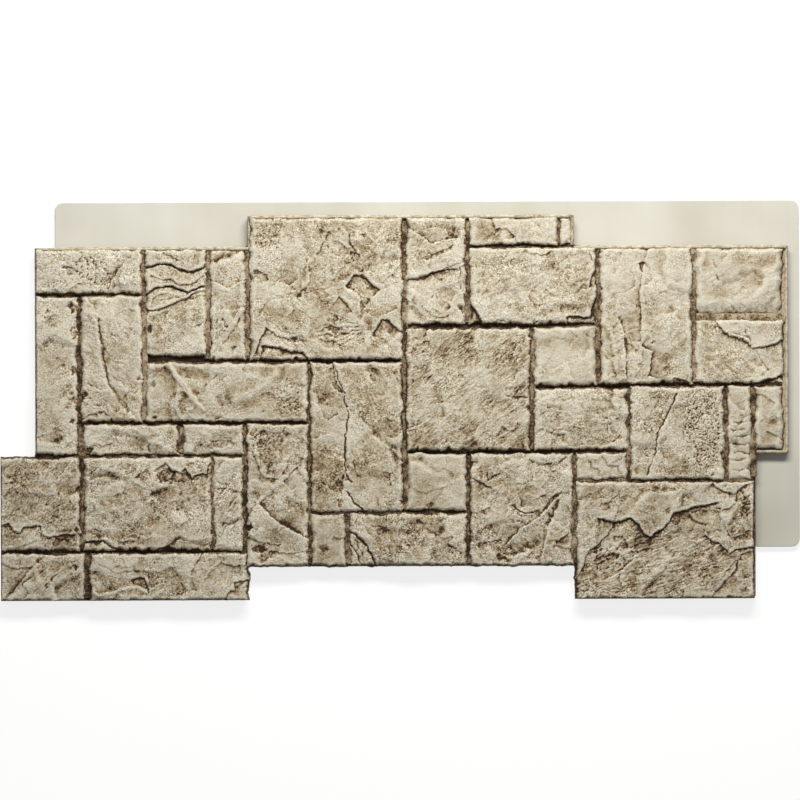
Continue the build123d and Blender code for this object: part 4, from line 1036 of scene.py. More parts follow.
# %% Stones of the bottom courses
lower_right = [
    stone("wrinkled", x_wrinkled + side, x_right_small - side, y_folded + seam - 2, y_right - seam, MIDDLE,
          breaks=0.3, lumps=0.6, seed=18, flake=0.1, grit=0.16, chips=(2, 2, 2.5, 2), marks=[
        ledge([(726, 390), (730, 396), (733, 402), (737, 410), (743, 410.6), (748, 405)], -1.3, 20,
              face=1.2, ends=(3, 5), jag=1.2),
        ledge([(752, 414), (744, 418), (738, 428), (731, 436)], 1.2, 12, ends=(2, 4)),
        crack([(731, 422), (738, 423), (748, 421)], 0.9, 1.5, ends=(3, 3)),
        crack([(730, 428), (736, 430), (746, 429)], 1, 1.5, ends=(0, 3)),
        crack([(733, 436), (741, 437), (749, 435)], 0.9, 1.5, ends=(3, 0)),
        crack([(730, 443), (738, 444), (749, 443)], 1.1, 1.6, ends=(0, 0)),
        crack([(731, 453), (740, 452), (749, 454)], 1, 1.5, ends=(3, 0)),
        crack([(730, 460), (738, 461), (748, 459)], 1.1, 1.6, ends=(0, 3)),
        crack([(732, 469), (741, 470), (749, 468)], 0.9, 1.5, ends=(3, 0)),
    ], stain=[((739, 400), (6, 9), 0.22), ((738, 447), (8, 20), 0.14)]),
    stone("right_small", x_right_small + side, right_end, y_step + 7.5, y_right - seam, LOW + 1.5,
          breaks=0.3, lumps=0.6, seed=19, flake=0.15, grit=0.14, round_off=3.4, chips=(2, 1.5, 2.5, 2.5),
          marks=[
        ledge([(753, 393), (765, 395.3), (769.7, 399), (776, 404)], 1.6, 14, ends=(0, 3)),
        hollow((773, 422), (7, 5), 1),
        ledge([(766.6, 431), (774.3, 435.8), (784, 439)], 1.6, 8, ends=(3, 0)),
    ], stain=[((773, 422), (10, 6), 0.22)]),
    stone("slate_foot", x_centre + side, x_square - side, y_tall_foot + seam, y_slate_foot - seam,
          LOW + 1.4, tone=0.06, breaks=0.3, lumps=0.6, seed=24, flake=0.12, grit=0.16, round_off=3.2,
          chips=(2.5, 1.5, 7, 2), marks=[
        ledge([(410, 486), (425, 492), (441, 488)], 0.7, 12),
        hollow((430, 505), (7, 4), 2),
    ]),
    stone("crossed", x_square + side, x_step_right - side, middle_foot, y_slate_foot - seam, MIDDLE + 0.8,
          tone=0.09, lumps=0.8, open_sides=(2,), seed=25, swell=1, flake=0.25, flake_angle=15, grit=0.34,
          chips=(2.5, 3, 4, 2), marks=[
        ledge([(470, 461), (481, 459.6)], 1.5, 6, ends=(0, 2)),
        ledge([(470, 477), (478, 481), (484.5, 485), (492, 488)], 1.6, 10, ends=(0, 4)),
        crack([(470, 477), (478, 481), (484.5, 485), (492, 488)], 1.6, ends=(0, 4), jag=0.4),
        crack([(487, 470), (489.3, 479.5), (495, 476), (502, 471.5)], 1.2, 1.4),
        ledge([(529, 458), (536, 462), (542, 464), (552, 462)], 2, 9, ends=(2, 4)),
        ledge([(512, 503), (516, 508), (524, 512), (534, 511), (539, 508)], 1.8, 8, ends=(3, 3), face=1),
        crack([(513, 504), (516, 509), (524, 513), (534, 512)], 2, ends=(2, 2), jag=0.4),
        ledge([(540, 512), (546, 502), (553, 494), (561, 491), (570, 493)], 2.2, 12, ends=(4, 3), face=2.6),

        hollow((551, 516), (20, 5), 2.4, 66, steep=0.7),
        hollow((530, 543), (16, 12), 1.2, 30, steep=0.95),
        ledge([(561, 494), (550, 506), (537, 517.8), (524.4, 527.3), (511.6, 538.5), (503, 548)], 1.8, 9,
              face=1.8, lip=1.1, ends=(3, 8), jag=0.7),
        ledge([(550, 526), (547, 534), (543.5, 546.5), (541, 563)], 1.3, 12, face=1.5, lip=0.9, ends=(5, 0),
              jag=0.7),
        ledge([(560, 499), (557, 508), (552, 519), (547, 530)], 1.4, 7, face=1.2, lip=0.5, ends=(3, 5)),
        ledge([(477, 542.5), (489.3, 541.7), (503, 538.5)], 1.8, 9, ends=(3, 3)),
        crack([(512, 509), (521.2, 516), (533, 515)], 1, ends=(3, 3), jag=0.4),
        ledge([(552, 545), (558, 545), (570, 549)], 1.5, 9, ends=(2, 0)),
        hollow((507, 555), (13, 8), -1.6, steep=0.9),
        ridge([(497, 551), (505, 556), (514, 557.5)], 1.1, 2.6, ends=(2, 2)),
        ridge([(500, 561), (512, 558), (525, 553)], 1.1, 2.6, ends=(2, 2)),
    ], stain=[((524, 524), (20, 12), 0.16), ((537, 534), (9, 14), 0.18), ((528, 546), (14, 10), 0.14),
             ((553, 497), (14, 5), 0.22)]),
    stone("folded", x_step_right + side, x_pitted - broad + 2, y_folded + seam - 1.2, y_slate_foot - seam,
          LOW + 2, breaks=0.6, seed=26, flake=0.15, grit=0.16, chips=(1.5, 2, 2.5, 2), marks=[
        ledge([(589, 458), (590, 460), (593, 467), (603, 470.5)], 1.6, 12, ends=(0, 4)),
        ledge([(603, 457), (609, 465), (618.5, 467), (624, 478)], 1.8, 12),
        hollow((576, 466), (4, 7), 2),
    ], stain=[((577, 466), (4, 7), 0.3), ((612, 474), (10, 5), 0.12)]),
    stone("plateau", x_step_right + side, low_right_end, foot, y_folded - seam, PROUD, tone=0.14, lumps=0.9,
          open_sides=(1, 2), seed=27, swell=0.9, flake=0.2, flake_angle=22, grit=0.28, chips=(2.5, 3, 4, 2),
          marks=[
        ledge([(593, 518), (604.4, 518.5), (613.6, 520.8), (621.2, 520.8), (625.8, 518.5), (632.7, 518.5),
              (636.5, 523), (639.6, 526), (644.2, 533.8), (650.3, 536), (653.4, 534.5), (658, 530.7),
              (664, 526), (670.2, 518.5), (673.3, 513), (682.5, 510), (693.2, 506.2), (704, 504.7),
              (722, 501)], 3.8, 60, face=1.1, lip=0.4, ends=(10, 14), jag=0.6),
        ledge([(580, 572), (583, 566), (585, 557), (589, 550.6), (597, 544.5), (604.4, 538.4), (609, 532.3),
              (613, 521)], 2.2, face=1, jag=0.5),
        ledge([(687, 510.8), (693, 517), (698, 520), (708, 523)], 1.2, 8, ends=(3, 3)),
        ledge([(690, 510), (702, 510), (714.6, 510), (719, 511.6)], 1.2, 6, ends=(3, 3)),
        ledge([(612, 535.3), (616.6, 534.5), (622.8, 535.3), (625.8, 541.4), (630, 546.5)], 1.8, 10,
              ends=(2, 2)),
        ledge([(628.9, 546), (635, 544.5), (642.7, 541.4), (650, 536)], 1.4, 8, ends=(2, 2)),
        ledge([(633.5, 550.6), (639.6, 549.9), (646, 547.5), (653, 548.3)], 1.5, 7, ends=(3, 3)),
        hollow((609, 560), (24, 17), -1.2, 35, steep=0.9),
        ledge([(631, 549), (636, 554), (633, 559), (626, 567), (614, 576), (602, 581)], 1.7, 26,
              ends=(3, 10), lip=0.5),
        pits((608, 558), (24, 18), 1.2, 4.6),
        grain((665, 562), (80, 42), 1.3, 22, 4.4, 6),
        ledge([(713, 482), (719.2, 489.4), (728.4, 491.7), (734.5, 494), (739, 487.9), (751, 483)], 2.6, 9,
              ends=(2, 0), face=1),
        ledge([(720.7, 509.3), (728.4, 508.5), (734.5, 503), (736, 492)], 2, 14, ends=(3, 0)),
        hollow((745, 503), (7, 15), 2, steep=0.6),
        pits((744, 505), (10, 16), 1, 4.2),
        ledge([(706, 531), (713, 529.2), (721, 528.4)], 1.2, 7, ends=(3, 3)),
        ledge([(704.7, 533), (713, 539.9), (722.3, 546), (730.7, 552.9), (736, 549), (753, 546)], 2.6, 14,
              ends=(5, 0), lip=0.3),
        ledge([(710, 599), (717.7, 589), (725.3, 579.7), (734.5, 570.5), (736, 561.3), (740.6, 553.7),
              (753, 550)], 1.9, 17),
        hollow((746, 590), (8, 7), 1.8),
        ledge([(597, 507), (601, 502), (609, 502), (612, 507)], 0.9, 6, ends=(2, 2)),
        ledge([(612, 508), (606, 511), (599, 509)], 0.8, 6, ends=(2, 2)),
        layers((600, 590), (30, 9), 1.2, 10, 5),
    ], stain=[((608, 560), (18, 12), 0.24), ((745, 503), (8, 15), 0.25), ((746, 590), (8, 7), 0.25),
             ((640, 540), (26, 8), 0.12), ((700, 560), (40, 20), 0.05), ((755, 545), (4, 50), 0.2)]),
]
print("lower right:", *(piece["name"] for piece in lower_right))

lower_left = [
    stone("outer_left", far_left, x_outer_left - side, y_foot + seam, y_step - seam, HIGH, tone=0.12,
          lumps=0.6, open_sides=(0,), seed=28, flake=0.35, flake_angle=30, grit=0.28, chips=(1, 3, 4, 2),
          marks=[
        grain((40, 500), (55, 50), 0.7, 52, 4, 4),
        ledge([(0, 525), (10, 523.3), (13, 530.2), (19.9, 532.5), (23.7, 527), (30.6, 525.6), (42.9, 526.3),
              (43.6, 534.8), (49, 536.3), (58.2, 534.8), (79, 533)], 2.4, 30, face=1, lip=0.4, jag=0.6),
        ledge([(51, 546), (55, 537.8), (69, 539.4)], 1.6, 7, ends=(0, 2)),
        hollow((76, 530), (4, 4), 2.5),
        hollow((79, 489), (4, 4), 2.5),
        pits((40, 482), (34, 14), 0.35),
    ], stain=[((70, 540), (10, 8), 0.2), ((30, 490), (25, 14), 0.08), ((77, 489), (5, 8), 0.5),
             ((76, 531), (5, 5), 0.5)]),
    stone("lower_left", x_outer_left + side, x_lower_narrow - side + 2, y_foot + seam, y_step - seam, HIGH,
          tone=0.08, lumps=0.8, seed=29, swell=1.5, flake=0.3, flake_angle=12, grit=0.36,
          chips=(3, 3, 5, 2), marks=[
        ledge([(133, 488), (127, 484), (121, 479), (107, 477.2), (88, 480.5)], 0.5, 14, face=4,
              ends=(8, 4)),
        ridge([(112, 466), (126, 474), (141, 486), (152, 495), (166, 508)], 1.1, 5),
        ridge([(86, 480), (104, 479), (120, 482), (134, 490)], 0.9, 4),
        ridge([(176, 528), (184, 536), (190, 545)], 0.9, 4),
        hollow((112.6, 516.4), (12, 9), 1.2, 30),
        hollow((134, 474), (22, 7), 0.8, -25, steep=0.98),
        ledge([(153, 471), (159.3, 467), (165.4, 462), (171.5, 470), (181, 473), (186, 467), (190, 473.5),
              (193, 476.6), (199, 473.5), (206, 473.5), (207, 466), (214, 461)], 2.8, 14, face=1.1, lip=0.3,
              ends=(3, 0)),
        hollow((167, 476), (12, 10), 2.8, -20, steep=0.4, ragged=0.25),
        ledge([(84, 541.5), (104, 540), (113.3, 545.5), (123, 551)], 4.4, 8, face=1),
        ledge([(154, 551), (159, 547), (168, 546.5), (175, 548), (179, 551)], 3.2, 7, face=1),
        ledge([(188, 551), (192, 548), (199, 547.5), (205, 551)], 3, 7, face=1),
        hollow((212, 532), (4, 5), 3),
        ledge([(176, 529), (186, 520), (198, 517)], 0.8, 10),
        grain((190, 508), (26, 20), 0.8, -20, 5),
    ], stain=[((112.6, 516.4), (12, 9), 0.28), ((142, 473.5), (14, 8), 0.2), ((125.6, 493), (12, 8), 0.12),
             ((205, 520), (8, 14), 0.12), ((168, 477), (11, 9), 0.45), ((85, 470), (4, 9), 0.5),
             ((86, 505), (4, 8), 0.45), ((86, 524), (4, 6), 0.35), ((167, 549), (9, 3), 0.4)]),
    stone("lower_narrow", x_lower_narrow + side - 2, x_wedge - side, y_foot + seam, y_step - seam,
          LOW + 1.6, seed=30, flake=0.4, flake_angle=50, grit=0.4, chips=(2, 2, 4, 2), marks=[
        ledge([(217, 488), (228, 486), (241, 491)], 1.5, 10),
        grain((228, 505), (14, 40), 1.2, 60, 4.4),
        ledge([(240, 520), (228, 528), (219, 541)], 1, 10),
    ], stain=[((228, 500), (10, 20), 0.1)]),
    stone("wedge", x_wedge + side, x_tall - side, middle_foot, y_low_strip - seam, MIDDLE + 1, tone=0.08,
          open_sides=(2,), lumps=0.6, seed=31, flake=0.3, flake_angle=-25, grit=0.28, chips=(3, 3, 4, 2),
          marks=[
        hollow((268, 451), (20, 23), 1.6, steep=0.5),
        pits((268, 449), (22, 24), 0.6, 3, 0.55),
        ledge([(290, 454), (286, 468), (279, 478), (265, 478), (260, 470), (252, 449)], -1.6, 12, face=1.3,
              ends=(4, 4)),
        ledge([(282, 483), (287, 477), (292, 473), (297, 467), (301, 473), (309, 483)], 1.8, 14,
              ends=(3, 0)),
        ledge([(309, 539), (298, 534), (288, 528.6), (275.7, 521.4), (265, 510.7), (258, 501)], 3.2, 28,
              face=1.6, ends=(0, 3)),
        ledge([(258.8, 501.8), (254, 508), (248, 518)], 1.6, 9),
        ledge([(245, 536), (255, 540), (265, 543), (282, 544.5)], 1.7, 9, ends=(0, 3)),
        hollow((260, 549), (10, 6), 3, steep=0.6, ragged=0.25),
        ledge([(268, 551), (285, 553), (308, 551)], 1.6, 6, ends=(3, 0)),
        hollow((249, 527), (5, 5), 6, steep=0.4, ragged=0.3),
        ledge([(262, 430), (275, 437), (292, 432)], 0.9, 9, ends=(3, 3)),
    ], stain=[((256, 490), (8, 9), 0.3), ((274, 510), (13, 9), 0.4), ((288, 524), (9, 6), 0.3),
             ((285, 520), (14, 10), 0.15), ((260, 549), (10, 6), 0.3), ((290, 554), (20, 6), 0.18),
             ((250, 527), (4, 4), 0.7), ((258, 490), (9, 16), 0.22)]),
    stone("base_small", x_tall + side - 2, x_base_small - side, middle_foot, y_tall_foot - 2, LOW + 2.2,
          tone=0.06, breaks=0.3, lumps=0.6, open_sides=(2,), seed=32, flake=0.12, grit=0.16, round_off=3.2,
          chips=(1.5, 1.5, 2.5, 2), marks=[
        hollow((324, 548), (8, 7), 2, steep=0.9),
        ledge([(333.8, 535.7), (338.2, 538.4), (348, 538.4)], 1.4, 8, ends=(3, 0)),
        hollow((346, 555), (3, 3), 2),
    ], stain=[((324, 548), (8, 7), 0.25)]),
    stone("base_long", x_base_small + side, x_square - side, middle_foot, y_tall_foot - seam, MIDDLE + 1.2,
          tone=0.1, lumps=1, open_sides=(2,), seed=33, flake=0.25, flake_angle=-15, grit=0.38,
          chips=(2.5, 2.5, 3.5, 2), marks=[
        ledge([(348, 530), (356, 534), (365, 543), (372, 555.4), (378, 566)], 2.6, 7, face=1),
        ledge([(346, 543), (352, 548), (357, 555.4), (363, 566)], -1.2, 16, face=1),
        crack([(349, 530.5), (356, 534.5), (365, 544), (371.5, 556), (377, 566)], 2.2, 1.8, ends=(0, 0),
              jag=0.4),
        crack([(349, 541), (356, 553), (362, 566)], 1.6, 1.4, ends=(0, 0), jag=0.4),
        grain((360, 550), (12, 18), 1.6, -55, 4, 5),
        hollow((383, 530), (9, 5), 0.9),
        ridge([(400, 542), (408, 551), (415, 560)], 1.1, 2.4),
        ledge([(430, 530), (442, 537), (456, 535)], 0.9, 10),
    ], stain=[((358, 547), (9, 17), 0.6), ((383, 530), (10, 6), 0.22), ((416, 534), (9, 6), 0.15)]),
    stone("foot_left", far_left, x_foot_left - broad, foot, y_foot - seam, MIDDLE, tone=0.05,
          open_sides=(0, 2), seed=34, flake=0.3, flake_angle=40, grit=0.26, chips=(1, 2.5, 1.5, 2.5),
          marks=[
        ledge([(0, 562), (8, 566), (15.3, 569.2), (33.7, 565.4)], 1.8, 14, ends=(0, 3)),
        ledge([(38, 564), (24, 579), (8, 599)], 1.8, 26, face=2.5),
        hollow((47.5, 585), (4, 4), 2),
        hollow((76.6, 567.7), (4, 4), 2.5),
        grain((55, 580), (30, 18), 0.9, 40, 4.5),
    ], stain=[((47.5, 585), (5, 5), 0.35), ((20, 565), (16, 4), 0.12), ((12, 576), (18, 9), 0.22),
             ((74, 568), (6, 5), 0.35)]),
    stone("foot_long", x_foot_left + broad, x_step_left - 2, foot, y_foot - seam, HIGH, tone=0.05,
          open_sides=(2,), seed=35, flake=0.3, flake_angle=15, chips=(2, 2, 1.5, 2.5), marks=[
        ridge([(90, 590), (98, 594.5), (107.2, 594.5), (122.5, 589.1), (137.8, 587.6), (152, 595)], 1.6,
              2.6),
        hollow((133, 568), (8, 5), 1.4),
        ledge([(130, 580), (137, 576.5), (144, 578), (148, 585), (151, 594)], 2.6, 8, ends=(2, 2),
              face=1.2),
        crack([(202, 554), (194.5, 564), (191.4, 576), (197, 597)], 0.8, 3.4, ends=(0, 6)),
        ledge([(191, 576), (194.5, 564), (201, 554)], 1.2, 20, ends=(3, 0)),
        ledge([(145.5, 577), (149, 568), (154, 560)], 0.8, 10, face=3, ends=(2, 2)),
        ledge([(223, 599), (226, 593), (232.8, 589.9), (234.3, 582.2), (243, 580)], 3, 14),
        ledge([(104, 566), (118, 572), (134, 569), (148, 571)], 1.1, 12),
        pits((170, 578), (20, 16), 0.4, 3.6),
    ], stain=[((134, 569), (9, 5), 0.25), ((141, 583), (8, 6), 0.22), ((238, 590), (6, 6), 0.25),
             ((196, 580), (4, 14), 0.2)]),
]
print("lower left:", *(piece["name"] for piece in lower_left))

# %% [markdown]
# ## The backing
# Behind the stones lies the bed, a slab with the stepped outline of the field, and behind
# that the thin flat sheet that slips under the next panels. On the real thing they are
# one moulding. Each is drawn as its outline with rounded corners, then raised in rings
# that round the upper edge over, which is how a moulded edge comes out of a mould.

# %% Slabs with a rounded upper edge
def rounded(points, radius, step=12.0):
    """A closed outline with its corners rounded and its sides cut into steps."""
    points = [np.array(p, float) for p in points]
    result = []
    for before, corner, after in zip(points[-1:] + points[:-1], points, points[1:] + points[:1]):
        towards = (before - corner) / np.linalg.norm(before - corner)
        away = (after - corner) / np.linalg.norm(after - corner)
        start = corner + towards * radius
        end = corner + away * radius
        if result:
            count = max(int(np.linalg.norm(start - result[-1]) / step), 1)
            result += [result[-1] + (start - result[-1]) * i / count for i in range(1, count)]
        centre = corner + (towards + away) * radius
        for i in range(9):
            t = math.radians(90 * i / 8)
            result.append(centre - away * radius * math.cos(t) - towards * radius * math.sin(t))
        result[-1] = end
    count = max(int(np.linalg.norm(result[0] - result[-1]) / step), 1)
    last = result[-1]
    return result + [last + (result[0] - last) * i / count for i in range(1, count)]


def slab_rings(outline, low, high, edge_round):
    """Rings of points up the side of a slab and over its rounded upper edge."""
    outline = np.array(outline)
    run = np.roll(outline, -1, axis=0) - np.roll(outline, 1, axis=0)
    run = run / np.linalg.norm(run, axis=1)[:, None]
    inward = np.c_[-run[:, 1], run[:, 0]]
    rings = [np.c_[outline, np.full(len(outline), low)]]
    for i in range(7):
        t = math.radians(90 * i / 6)
        inset = edge_round * (1 - math.cos(t))
        level = high - edge_round * (1 - math.sin(t))
        rings.append(np.c_[outline + inward * inset, np.full(len(outline), level)])
    return rings


def slab(mesh, outline, low, high, edge_round):
    """Adds a closed slab to a bmesh."""
    rings = []
    for ring in slab_rings(outline, low, high, edge_round):
        rings.append([mesh.verts.new(Vector(point) * MM) for point in ring])
    count = len(rings[0])
    mesh.faces.new(rings[0][::-1])
    for lower, upper in zip(rings[:-1], rings[1:]):
        for i in range(count):
            n = (i + 1) % count
            mesh.faces.new((lower[i], lower[n], upper[n], upper[i]))
    mesh.faces.new(rings[-1])


def slabs_object(name, slabs):
    """One object from slabs, each given as its outline, low and high level and edge round."""
    mesh = bmesh.new()
    for outline, low, high, edge_round in slabs:
        slab(mesh, outline, low, high, edge_round)
    data = bpy.data.meshes.new(name)
    mesh.to_mesh(data)
    mesh.free()
    for face in data.polygons:
        face.use_smooth = len(face.vertices) == 4
    print(name, len(data.polygons), "faces")
    return placed(name, data)


# %% The sheet
SHEET_ROUND = 1.2
sheet_corners = [
    (sheet_left, sheet_bottom), (sheet_right, sheet_bottom), (sheet_right, sheet_top),
    (sheet_left, sheet_top),
]
sheet_outline = rounded(sheet_corners, SHEET_CORNER)
sheet = slabs_object("backing_sheet", [(sheet_outline, 0.0, SHEET_THICKNESS, SHEET_ROUND)])

# %% The bed, with a core that fills the space between it and the sheet
BED_ROUND = 2.2
CORE_ROUND = 0.8
CORE_TOP = SHEET_THICKNESS + 4.0
BED_TOP = BED_LEVEL - 0.4
notch_left = x_step_left - STEP_CLEARANCE / 2
notch_right = x_step_right + STEP_CLEARANCE / 2
low_step = y_step - STEP_CLEARANCE / 2
right_and_top = [
    (right_low, y_step), (right_high, y_step), (right_high, top_side), (x_step_right, top_side),
    (x_step_right, top_middle), (x_step_left, top_middle), (x_step_left, top_side),
]
bed_corners = [
    (left_low, bottom_side), (notch_left, bottom_side), (notch_left, bottom_middle),
    (notch_right, bottom_middle), (notch_right, bottom_side), (right_low, bottom_side),
    *right_and_top, (left_high, top_side), (left_high, low_step), (left_low, low_step),
]
core_corners = [
    (sheet_left, sheet_bottom), (right_low, sheet_bottom), *right_and_top, (sheet_left, top_side),
]
bed = slabs_object("stone_bed", [
    (rounded(bed_corners, FIELD_CORNER), SHEET_THICKNESS + LAP_CLEARANCE, BED_TOP, BED_ROUND),
    (rounded(core_corners, FIELD_CORNER), SHEET_THICKNESS / 2, CORE_TOP, CORE_ROUND),
])

# %% [markdown]
# ## The joints
# Mortar is laid along lines, so the joints are swept along lines too: a flattened bead
# follows every joint, its width carried by the line as an attribute, and noise makes its
# top uneven. One node tree does this for any set of lines. Modelling each joint by hand
# would give the same look for far more work, and the stones could not be moved later.

# %% A node tree that sweeps a bead along lines
def add_node(tree, kind, inputs=(), **settings):
    """A new node with its settings and the values of some of its inputs."""
    node = tree.nodes.new(kind)
    for name, value in settings.items():
        setattr(node, name, value)
    for key, value in inputs:
        node.inputs[key].default_value = value
    return node


def link_all(tree, *pairs):
    """Links each pair of sockets."""
    for source, target in pairs:
        tree.links.new(source, target)


def pushed_about(tree, geometry, amount, scale, detail, roughness=0.5):
    """A geometry whose points noise pushes about, by up to half the amount each way."""
    bumps = add_node(
        tree, "ShaderNodeTexNoise", [("Scale", scale), ("Detail", detail), ("Roughness", roughness)]
    )
    middle = add_node(tree, "ShaderNodeVectorMath", [(1, (0.5, 0.5, 0.5))], operation="SUBTRACT")
    push = add_node(tree, "ShaderNodeVectorMath", operation="SCALE")
    moved = add_node(tree, "GeometryNodeSetPosition")
    link_all(
        tree,
        (geometry, moved.inputs["Geometry"]),
        (bumps.outputs["Color"], middle.inputs[0]),
        (middle.outputs["Vector"], push.inputs[0]),
        (amount, push.inputs["Scale"]),
        (push.outputs["Vector"], moved.inputs["Offset"]),
    )
    return moved.outputs["Geometry"]


def coved_profile(tree, cove, flatness):
    """A circle of radius 1, hollowed on its upper side and then flattened."""
    circle = add_node(tree, "GeometryNodeCurvePrimitiveCircle", [("Resolution", 12), ("Radius", 1.0)])
    place = add_node(tree, "GeometryNodeInputPosition")
    apart = add_node(tree, "ShaderNodeSeparateXYZ")
    on_top = add_node(tree, "ShaderNodeMath", [(1, -0.01)], operation="GREATER_THAN")
    amount = add_node(tree, "ShaderNodeMath", operation="MULTIPLY")
    square = add_node(tree, "ShaderNodeMath", operation="MULTIPLY")
    sunk = add_node(tree, "ShaderNodeMix", data_type="FLOAT")
    moved = add_node(tree, "ShaderNodeCombineXYZ")
    coved = add_node(tree, "GeometryNodeSetPosition")
    squash = add_node(tree, "ShaderNodeCombineXYZ", [("X", 1.0), ("Z", 1.0)])
    profile = add_node(tree, "GeometryNodeTransform")
    link_all(
        tree,
        (place.outputs["Position"], apart.inputs["Vector"]),
        (apart.outputs["Y"], on_top.inputs[0]),
        (on_top.outputs["Value"], amount.inputs[0]),
        (cove, amount.inputs[1]),
        (apart.outputs["X"], square.inputs[0]),
        (apart.outputs["X"], square.inputs[1]),
        (amount.outputs["Value"], sunk.inputs["Factor"]),
        (apart.outputs["Y"], sunk.inputs["A"]),
        (square.outputs["Value"], sunk.inputs["B"]),
        (apart.outputs["X"], moved.inputs["X"]),
        (sunk.outputs["Result"], moved.inputs["Y"]),
        (circle.outputs["Curve"], coved.inputs["Geometry"]),
        (moved.outputs["Vector"], coved.inputs["Position"]),
        (coved.outputs["Geometry"], profile.inputs["Geometry"]),
        (flatness, squash.inputs["Y"]),
        (squash.outputs["Vector"], profile.inputs["Scale"]),
    )
    return profile.outputs["Geometry"]


def with_crumbs(tree, beads, density, radius, seed):
    """The beads with crumbs of stone scattered over them."""
    scatter = add_node(tree, "GeometryNodeDistributePointsOnFaces")
    crumb = add_node(tree, "GeometryNodeMeshIcoSphere", [("Subdivisions", 1)])
    size = add_node(tree, "FunctionNodeRandomValue", [(2, 0.35), (3, 1.0)])
    turn = add_node(tree, "FunctionNodeRandomValue", [(1, (6.28, 6.28, 6.28))], data_type="FLOAT_VECTOR")
    crumbs = add_node(tree, "GeometryNodeInstanceOnPoints")
    together = add_node(tree, "GeometryNodeJoinGeometry")
    link_all(
        tree,
        (beads, scatter.inputs["Mesh"]),
        (density, scatter.inputs["Density"]),
        (seed, scatter.inputs["Seed"]),
        (radius, crumb.inputs["Radius"]),
        (scatter.outputs["Points"], crumbs.inputs["Points"]),
        (crumb.outputs["Mesh"], crumbs.inputs["Instance"]),
        (seed, size.inputs["Seed"]),
        (size.outputs[1], crumbs.inputs["Scale"]),
        (seed, turn.inputs["Seed"]),
        (turn.outputs[0], crumbs.inputs["Rotation"]),
        (beads, together.inputs["Geometry"]),
        (crumbs.outputs["Instances"], together.inputs["Geometry"]),
    )
    return together.outputs["Geometry"]


def bead_tree():
    """Lines to beads: resample, sweep a flattened profile, then roughen."""
    tree = bpy.data.node_groups.new("bead_along_lines", "GeometryNodeTree")
    new_socket = tree.interface.new_socket
    new_socket("Lines", in_out="INPUT", socket_type="NodeSocketGeometry")
    for name, default in (
        ("Spacing", 0.002), ("Flatness", 0.3), ("Cove", 0.0), ("Wander", 0.001), ("Roughness", 0.001),
        ("Crumb Density", 0.0), ("Crumb Size", 0.001),
    ):
        new_socket(name, in_out="INPUT", socket_type="NodeSocketFloat").default_value = default
    new_socket("Seed", in_out="INPUT", socket_type="NodeSocketInt").default_value = 1
    new_socket("Material", in_out="INPUT", socket_type="NodeSocketMaterial")
    new_socket("Beads", in_out="OUTPUT", socket_type="NodeSocketGeometry")
    given = add_node(tree, "NodeGroupInput").outputs
    result = add_node(tree, "NodeGroupOutput").inputs

    lines = add_node(tree, "GeometryNodeMeshToCurve")
    resample = add_node(tree, "GeometryNodeResampleCurve", mode="LENGTH")
    width = add_node(tree, "GeometryNodeInputNamedAttribute", [("Name", "half_width")], data_type="FLOAT")
    sweep = add_node(tree, "GeometryNodeCurveToMesh", [("Fill Caps", True)])
    realize = add_node(tree, "GeometryNodeRealizeInstances")
    finish = add_node(tree, "GeometryNodeSetMaterial")
    path = pushed_about(tree, resample.outputs["Curve"], given["Wander"], 45.0, 2.0)
    beads = pushed_about(tree, sweep.outputs["Mesh"], given["Roughness"], 260.0, 3.0, 0.6)
    crumbed = with_crumbs(tree, beads, given["Crumb Density"], given["Crumb Size"], given["Seed"])
    link_all(
        tree,
        (given["Lines"], lines.inputs["Mesh"]),
        (lines.outputs["Curve"], resample.inputs["Curve"]),
        (given["Spacing"], resample.inputs["Length"]),
        (path, sweep.inputs["Curve"]),
        (coved_profile(tree, given["Cove"], given["Flatness"]), sweep.inputs["Profile Curve"]),
        (width.outputs["Attribute"], sweep.inputs["Scale"]),
        (crumbed, realize.inputs["Geometry"]),
        (realize.outputs["Geometry"], finish.inputs["Geometry"]),
        (given["Material"], finish.inputs["Material"]),
        (finish.outputs["Geometry"], result["Beads"]),
    )
    print("bead tree of", len(tree.nodes), "nodes")
    return tree


def made_by(tree, obj, name, **values):
    """Runs a node tree on an object and keeps the result as a plain mesh object."""
    modifier = obj.modifiers.new(tree.name, "NODES")
    modifier.node_group = tree
    for item in tree.interface.items_tree:
        if item.in_out == "INPUT" and item.name in values:
            modifier[item.identifier] = values[item.name]
    bpy.context.view_layer.update()
    evaluated = obj.evaluated_get(bpy.context.evaluated_depsgraph_get())
    mesh = bpy.data.meshes.new_from_object(evaluated)
    obj.modifiers.remove(modifier)
    mesh.name = name
    print(name, "triangles", sum(len(p.vertices) - 2 for p in mesh.polygons))
    return placed(name, mesh)


def line_object(name, lines):
    """Loose edges, each with its half width and wash, which in the level joints is partly painted shadow:
    [(points, level, half width, wash and shade)].
    """
    points, edges, widths, washes = [], [], [], []
    for places, level, half_width, wash_and_shade in lines:
        first = len(points)
        points += [(x * MM, y * MM, level * MM) for x, y in places]
        edges += [(first + i, first + i + 1) for i in range(len(places) - 1)]
        widths += [half_width * MM] * len(places)
        washes += [wash_and_shade] * len(places)
    mesh = bpy.data.meshes.new(name)
    mesh.from_pydata(points, edges, [])
    mesh.attributes.new("half_width", "FLOAT", "POINT").data.foreach_set("value", widths)
    mesh.attributes.new("wash_and_shade", "FLOAT", "POINT").data.foreach_set("value", washes)
    return placed(name, mesh)


